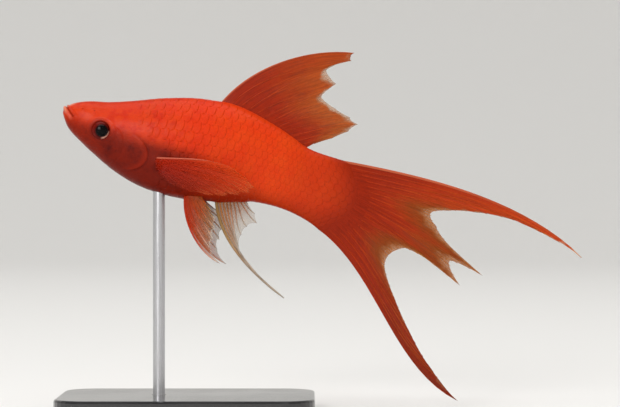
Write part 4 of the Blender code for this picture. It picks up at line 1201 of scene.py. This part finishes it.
def fin_looks(colours):
    """Colours and opacities of each fin's membrane and of its rays."""
    red, orange, clear = colours.fin, colours.fin_orange, colours.clear
    lead, bright, glow = (0.52, 0.13, 0.06), (0.33, 0.024, 0.003), (0.40, 0.068, 0.009)
    rust, olive, grey = (0.34, 0.085, 0.016), (0.32, 0.21, 0.08), (0.42, 0.34, 0.27)
    crimson, scarlet = (0.42, 0.026, 0.005), (0.52, 0.022, 0.003)
    # The pectoral fin's lead colour paints a highlight along its upper edge; its rear root colour paints
    # shade on its lower rays near the body
    rose_highlight, shadow = (0.68, 0.20, 0.12), (0.28, 0.008, 0.001)
    membranes = {
        "dorsal_fin": fin_look(
            red, red, orange, rust, (0.42, 0.20, 0.08), lead, fade=0.2,
            opacity=(0.99, 0.97, 0.9, 0.38), streaks=70.0, edge_start=0.89, front_hold=0.1),
        "caudal_fin": fin_look(
            red, red, (0.50, 0.045, 0.006), (0.19, 0.016, 0.003), (0.37, 0.115, 0.016), lead, fade=0.1,
            opacity=(1.0, 0.96, 0.95, 0.6), streaks=110.0, tip=(0.60, 0.26, 0.14), edge_start=0.98,
            front_hold=-0.03, clear_middle=0.19, middle_shade=0.75),
        "anal_fin": fin_look(
            (0.30, 0.11, 0.03), (0.30, 0.10, 0.03), grey, clear, grey, olive, fade=-0.1,
            opacity=(0.62, 0.5, 0.18, 0.3), streaks=12.0, edge_start=0.85),
        "pelvic_fin": fin_look(
            (0.36, 0.024, 0.004), (0.34, 0.07, 0.015), rust, (0.30, 0.17, 0.07), clear, crimson,
            fade=0.2, opacity=(0.75, 0.35, 0.3, 0.4), streaks=12.0, edge_start=0.93, lead_width=0.30,
            beads=0.8),
        "pectoral_fin": fin_look(
            scarlet, shadow, (0.64, 0.06, 0.007), (0.30, 0.012, 0.002), glow, rose_highlight, fade=0.1,
            opacity=(0.4, 0.4, 0.08, 0.1), streaks=40.0, edge_start=0.95, lead_width=0.03),
    }
    rays = {
        "dorsal_fin": fin_look(
            bright, bright, glow, glow, (0.48, 0.20, 0.07), lead, fade=0.1,
            opacity=(1.0, 0.95, 0.9, 0.6), edge_start=0.92, front_hold=0.1, beads=0.0),
        "caudal_fin": fin_look(
            bright, bright, (0.48, 0.062, 0.008), (0.30, 0.05, 0.010), (0.44, 0.16, 0.03), lead,
            fade=0.1, opacity=(1.0, 0.95, 0.9, 0.95), tip=(0.66, 0.36, 0.22), edge_start=0.97,
            front_hold=-0.06, clear_middle=0.14, middle_shade=0.7),
        "anal_fin": fin_look(
            (0.38, 0.15, 0.04), (0.40, 0.10, 0.03), grey, clear, grey, olive, fade=0.0),
        "pelvic_fin": fin_look(
            bright, glow, (0.60, 0.36, 0.27), olive, (0.62, 0.52, 0.44), crimson, fade=0.35,
            edge_start=0.85, lead_width=0.3),
        "pectoral_fin": fin_look(
            scarlet, shadow, (0.66, 0.07, 0.009), (0.45, 0.03, 0.004), (0.72, 0.13, 0.03), rose_highlight,
            fade=0.3, opacity=(0.2, 0.25, 0.05, 0.6), edge_start=0.98, clear_middle=0.34,
            lead_width=0.06),
    }
    return membranes, rays


def build_fins(scene, names):
    """Membrane and rays of the named fins, in place of their solids."""
    sizes, pitch = scene.swordtail_fins, scene.swordtail_body.pitch
    membranes, rays = fin_looks(scene.swordtail_colours)
    for number, (name, fin) in enumerate(FINS.items()):
        if name not in names:
            continue
        kind = name.replace("_left", "").replace("_right", "")
        seed = SEED + number
        sheet = fin_material(kind + "_membrane", membranes[kind])
        bone = fin_material(kind + "_ray", rays[kind], 0.3)
        for piece in (make_membrane(name, fin, sizes, pitch, sheet, seed),
                      make_rays(name, fin, sizes, pitch, bone, seed)):
            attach(piece, "root")
            if piece.name.endswith("_membrane"):
                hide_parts(name)


# Operators


class SWORDTAIL_OT_skin(bpy.types.Operator):
    """Make the skin of the head, body and tail base in one closed surface"""
    bl_idname = "swordtail.skin"
    bl_label = "Skin"

    def execute(self, context):
        sizes, colours = context.scene.swordtail_body, context.scene.swordtail_colours
        piece = make_skin(sizes, fish_material("fish_skin", colours, sizes.pitch))
        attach(piece, "root")
        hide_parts("head", "torso", "tail_peduncle")
        return {"FINISHED"}


class SWORDTAIL_OT_scales(bpy.types.Operator):
    """Cover the body with overlapping scales"""
    bl_idname = "swordtail.scales"
    bl_label = "Scales"

    def execute(self, context):
        sizes, colours = context.scene.swordtail_body, context.scene.swordtail_colours
        material = fish_material("fish_scale", colours, sizes.pitch)
        for side in (-1.0, 1.0):
            piece = make_scales(sizes, side, material)
            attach(piece, "root")
        return {"FINISHED"}


class SWORDTAIL_OT_eyes(bpy.types.Operator):
    """Make both eyes"""
    bl_idname = "swordtail.eyes"
    bl_label = "Eyes"

    def execute(self, context):
        sizes = context.scene.swordtail_body
        material = eye_material(sizes, context.scene.swordtail_colours)
        for side, node_name in ((-1.0, "eye_left"), (1.0, "eye_right")):
            piece = make_eye(sizes, side, material)
            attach(piece, "root")
            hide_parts(node_name)
        return {"FINISHED"}


class SWORDTAIL_OT_tall_fins(bpy.types.Operator):
    """Make the dorsal, anal and tail fins"""
    bl_idname = "swordtail.tall_fins"
    bl_label = "Dorsal, Anal and Tail Fins"

    def execute(self, context):
        build_fins(context.scene, ("dorsal_fin", "anal_fin", "caudal_fin"))
        return {"FINISHED"}


class SWORDTAIL_OT_paired_fins(bpy.types.Operator):
    """Make the pectoral and pelvic fins"""
    bl_idname = "swordtail.paired_fins"
    bl_label = "Pectoral and Pelvic Fins"

    def execute(self, context):
        names = ("pelvic_fin_left", "pelvic_fin_right", "pectoral_fin_left", "pectoral_fin_right")
        build_fins(context.scene, names)
        return {"FINISHED"}


class SWORDTAIL_OT_stand(bpy.types.Operator):
    """Finish the stand's base in black acrylic and its rod in brushed steel"""
    bl_idname = "swordtail.stand"
    bl_label = "Stand"

    def execute(self, context):
        colours = context.scene.swordtail_colours
        acrylic, tree, shader = new_material("acrylic", Coat_Weight=0.6, Coat_Roughness=0.05)
        place = object_place(tree)
        dust = noise(tree, place, 900.0, 5.0, 0.7)
        haze = noise(tree, place, 45.0, 3.0, 0.6)
        specks = ramp(tree, dust, 0.62, 0.75, 0.0, 0.25)
        colour = mix(tree, specks, rgba(colours.acrylic), rgba((0.22, 0.21, 0.2)))
        tree.links.new(colour, shader.inputs["Base Color"])
        tree.links.new(ramp(tree, haze, 0.3, 0.7, 0.10, 0.2), shader.inputs["Roughness"])
        bump(tree, shader, dust, STAND_BUMP)

        steel, tree, shader = new_material("steel", Metallic=1.0)
        drawn = node(tree, "ShaderNodeMapping", object_place(tree), None, None,
                     (9000.0, 9000.0, 120.0)).outputs[0]
        lines = noise(tree, drawn, 1.0, 3.0, 0.6)
        colour = toned(tree, rgba(colours.steel), ramp(tree, lines, 0.3, 0.7, 0.82, 1.0))
        tree.links.new(colour, shader.inputs["Base Color"])
        tree.links.new(ramp(tree, lines, 0.3, 0.7, 0.22, 0.38), shader.inputs["Roughness"])
        bump(tree, shader, lines, STAND_BUMP)
        for name, material in (("stand_base", acrylic), ("stand_rod", steel)):
            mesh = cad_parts[name].data
            mesh.materials.clear()
            mesh.materials.append(material)
        return {"FINISHED"}


def looking(place, target):
    """Rotation of a lamp at a place that points at the target: tilt from straight down, then turn."""
    away = place - target
    tilt = math.acos(away[2] / np.linalg.norm(away))
    return tilt, 0.0, math.atan2(away[1], away[0]) + 0.5 * math.pi


class SWORDTAIL_OT_stage(bpy.types.Operator):
    """Set the floor, lights and camera"""
    bl_idname = "swordtail.stage"
    bl_label = "Stage"

    def execute(self, context):
        scene = context.scene
        stage = scene.swordtail_stage
        material = new_material("floor", 0.85, Specular_IOR_Level=0.2, Base_Color=stage.floor)[0]

        # Bowl: a flat round floor whose rim turns up in a quarter circle
        bend = np.linspace(0.0, 0.5 * math.pi, 40)[1:]
        flat = np.linspace(0.0, FLOOR_REACH, 14)[1:]
        reach = np.concatenate([flat, FLOOR_REACH + FLOOR_BEND * np.sin(bend)])
        rise = np.concatenate([np.zeros(len(flat)), FLOOR_BEND * (1.0 - np.cos(bend))])
        rings = turned_rings(reach, rise, FLOOR_SIDES)
        points = np.concatenate([rings.reshape(-1, 3), [[0.0, 0.0, 0.0]]])
        quads = grid_quads(len(rings), FLOOR_SIDES, wrap=True)[:, ::-1]
        fan = pole_fan(len(points) - 1, 0, FLOOR_SIDES)[:, [0, 2, 1]]
        floor = make_piece("floor", points, [quads, fan], material)

        world = scene.world or bpy.data.worlds.new("sky")
        scene.world = world
        world.use_nodes = True
        sky = world.node_tree.nodes["Background"]
        set_inputs(sky, {"Color": (1.0, 0.99, 0.97), "Strength": stage.sky})

        target = np.array((stage.centre_x, 0.0, 0.06))
        for name, place, size, power in (("key", (-0.26, -0.74, 0.34), 0.30, stage.key),
                                         ("ceiling", (-0.2, -0.5, 2.6), 3.2, stage.ceiling)):
            light = bpy.data.lights.new(name, "AREA")
            light.size = size
            light.energy = power
            lamp = bpy.data.objects.new(name, light)
            lamp.location = place
            lamp.rotation_euler = looking(np.array(place), target)
            scene.collection.objects.link(lamp)

        lens = bpy.data.cameras.new("camera")
        lens.sensor_width = 36.0
        lens.lens = lens.sensor_width * stage.distance / stage.view_width
        lens.clip_start = 0.01
        camera = bpy.data.objects.new("camera", lens)
        camera.location = (stage.centre_x, -stage.distance, stage.centre_z)
        camera.rotation_euler = (0.5 * math.pi, 0.0, 0.0)
        scene.collection.objects.link(camera)
        scene.camera = camera
        scene.view_settings.view_transform = "Standard"
        return {"FINISHED"}


class SWORDTAIL_PT_panel(bpy.types.Panel):
    """Lists the steps that build the swordtail"""
    bl_label = "Swordtail"
    bl_idname = "SWORDTAIL_PT_panel"
    bl_space_type = "VIEW_3D"
    bl_region_type = "UI"
    bl_category = "Swordtail"

    def draw(self, context):
        layout = self.layout
        for operator in OPERATORS:
            layout.operator(operator.bl_idname)
        for name in GROUPS:
            group = getattr(context.scene, name)
            box = layout.box()
            for key in group.bl_rna.properties.keys():
                if key not in ("rna_type", "name"):
                    box.prop(group, key)


GROUPS = {"swordtail_body": BodySizes, "swordtail_fins": FinSizes,
          "swordtail_colours": FishColours, "swordtail_stage": StageSettings}
OPERATORS = (SWORDTAIL_OT_skin, SWORDTAIL_OT_scales, SWORDTAIL_OT_eyes, SWORDTAIL_OT_tall_fins,
             SWORDTAIL_OT_paired_fins, SWORDTAIL_OT_stand, SWORDTAIL_OT_stage)


def register():
    for name, group in GROUPS.items():
        bpy.utils.register_class(group)
        setattr(bpy.types.Scene, name, bpy.props.PointerProperty(type=group))
    for operator in (*OPERATORS, SWORDTAIL_PT_panel):
        bpy.utils.register_class(operator)


def unregister():
    for operator in (SWORDTAIL_PT_panel, *OPERATORS):
        bpy.utils.unregister_class(operator)
    for name, group in GROUPS.items():
        delattr(bpy.types.Scene, name)
        bpy.utils.unregister_class(group)


def main():
    register()
    bpy.ops.swordtail.skin()
    bpy.ops.swordtail.scales()
    bpy.ops.swordtail.eyes()
    bpy.ops.swordtail.tall_fins()
    bpy.ops.swordtail.paired_fins()
    bpy.ops.swordtail.stand()
    bpy.ops.swordtail.stage()


if __name__ == "__main__":
    main()
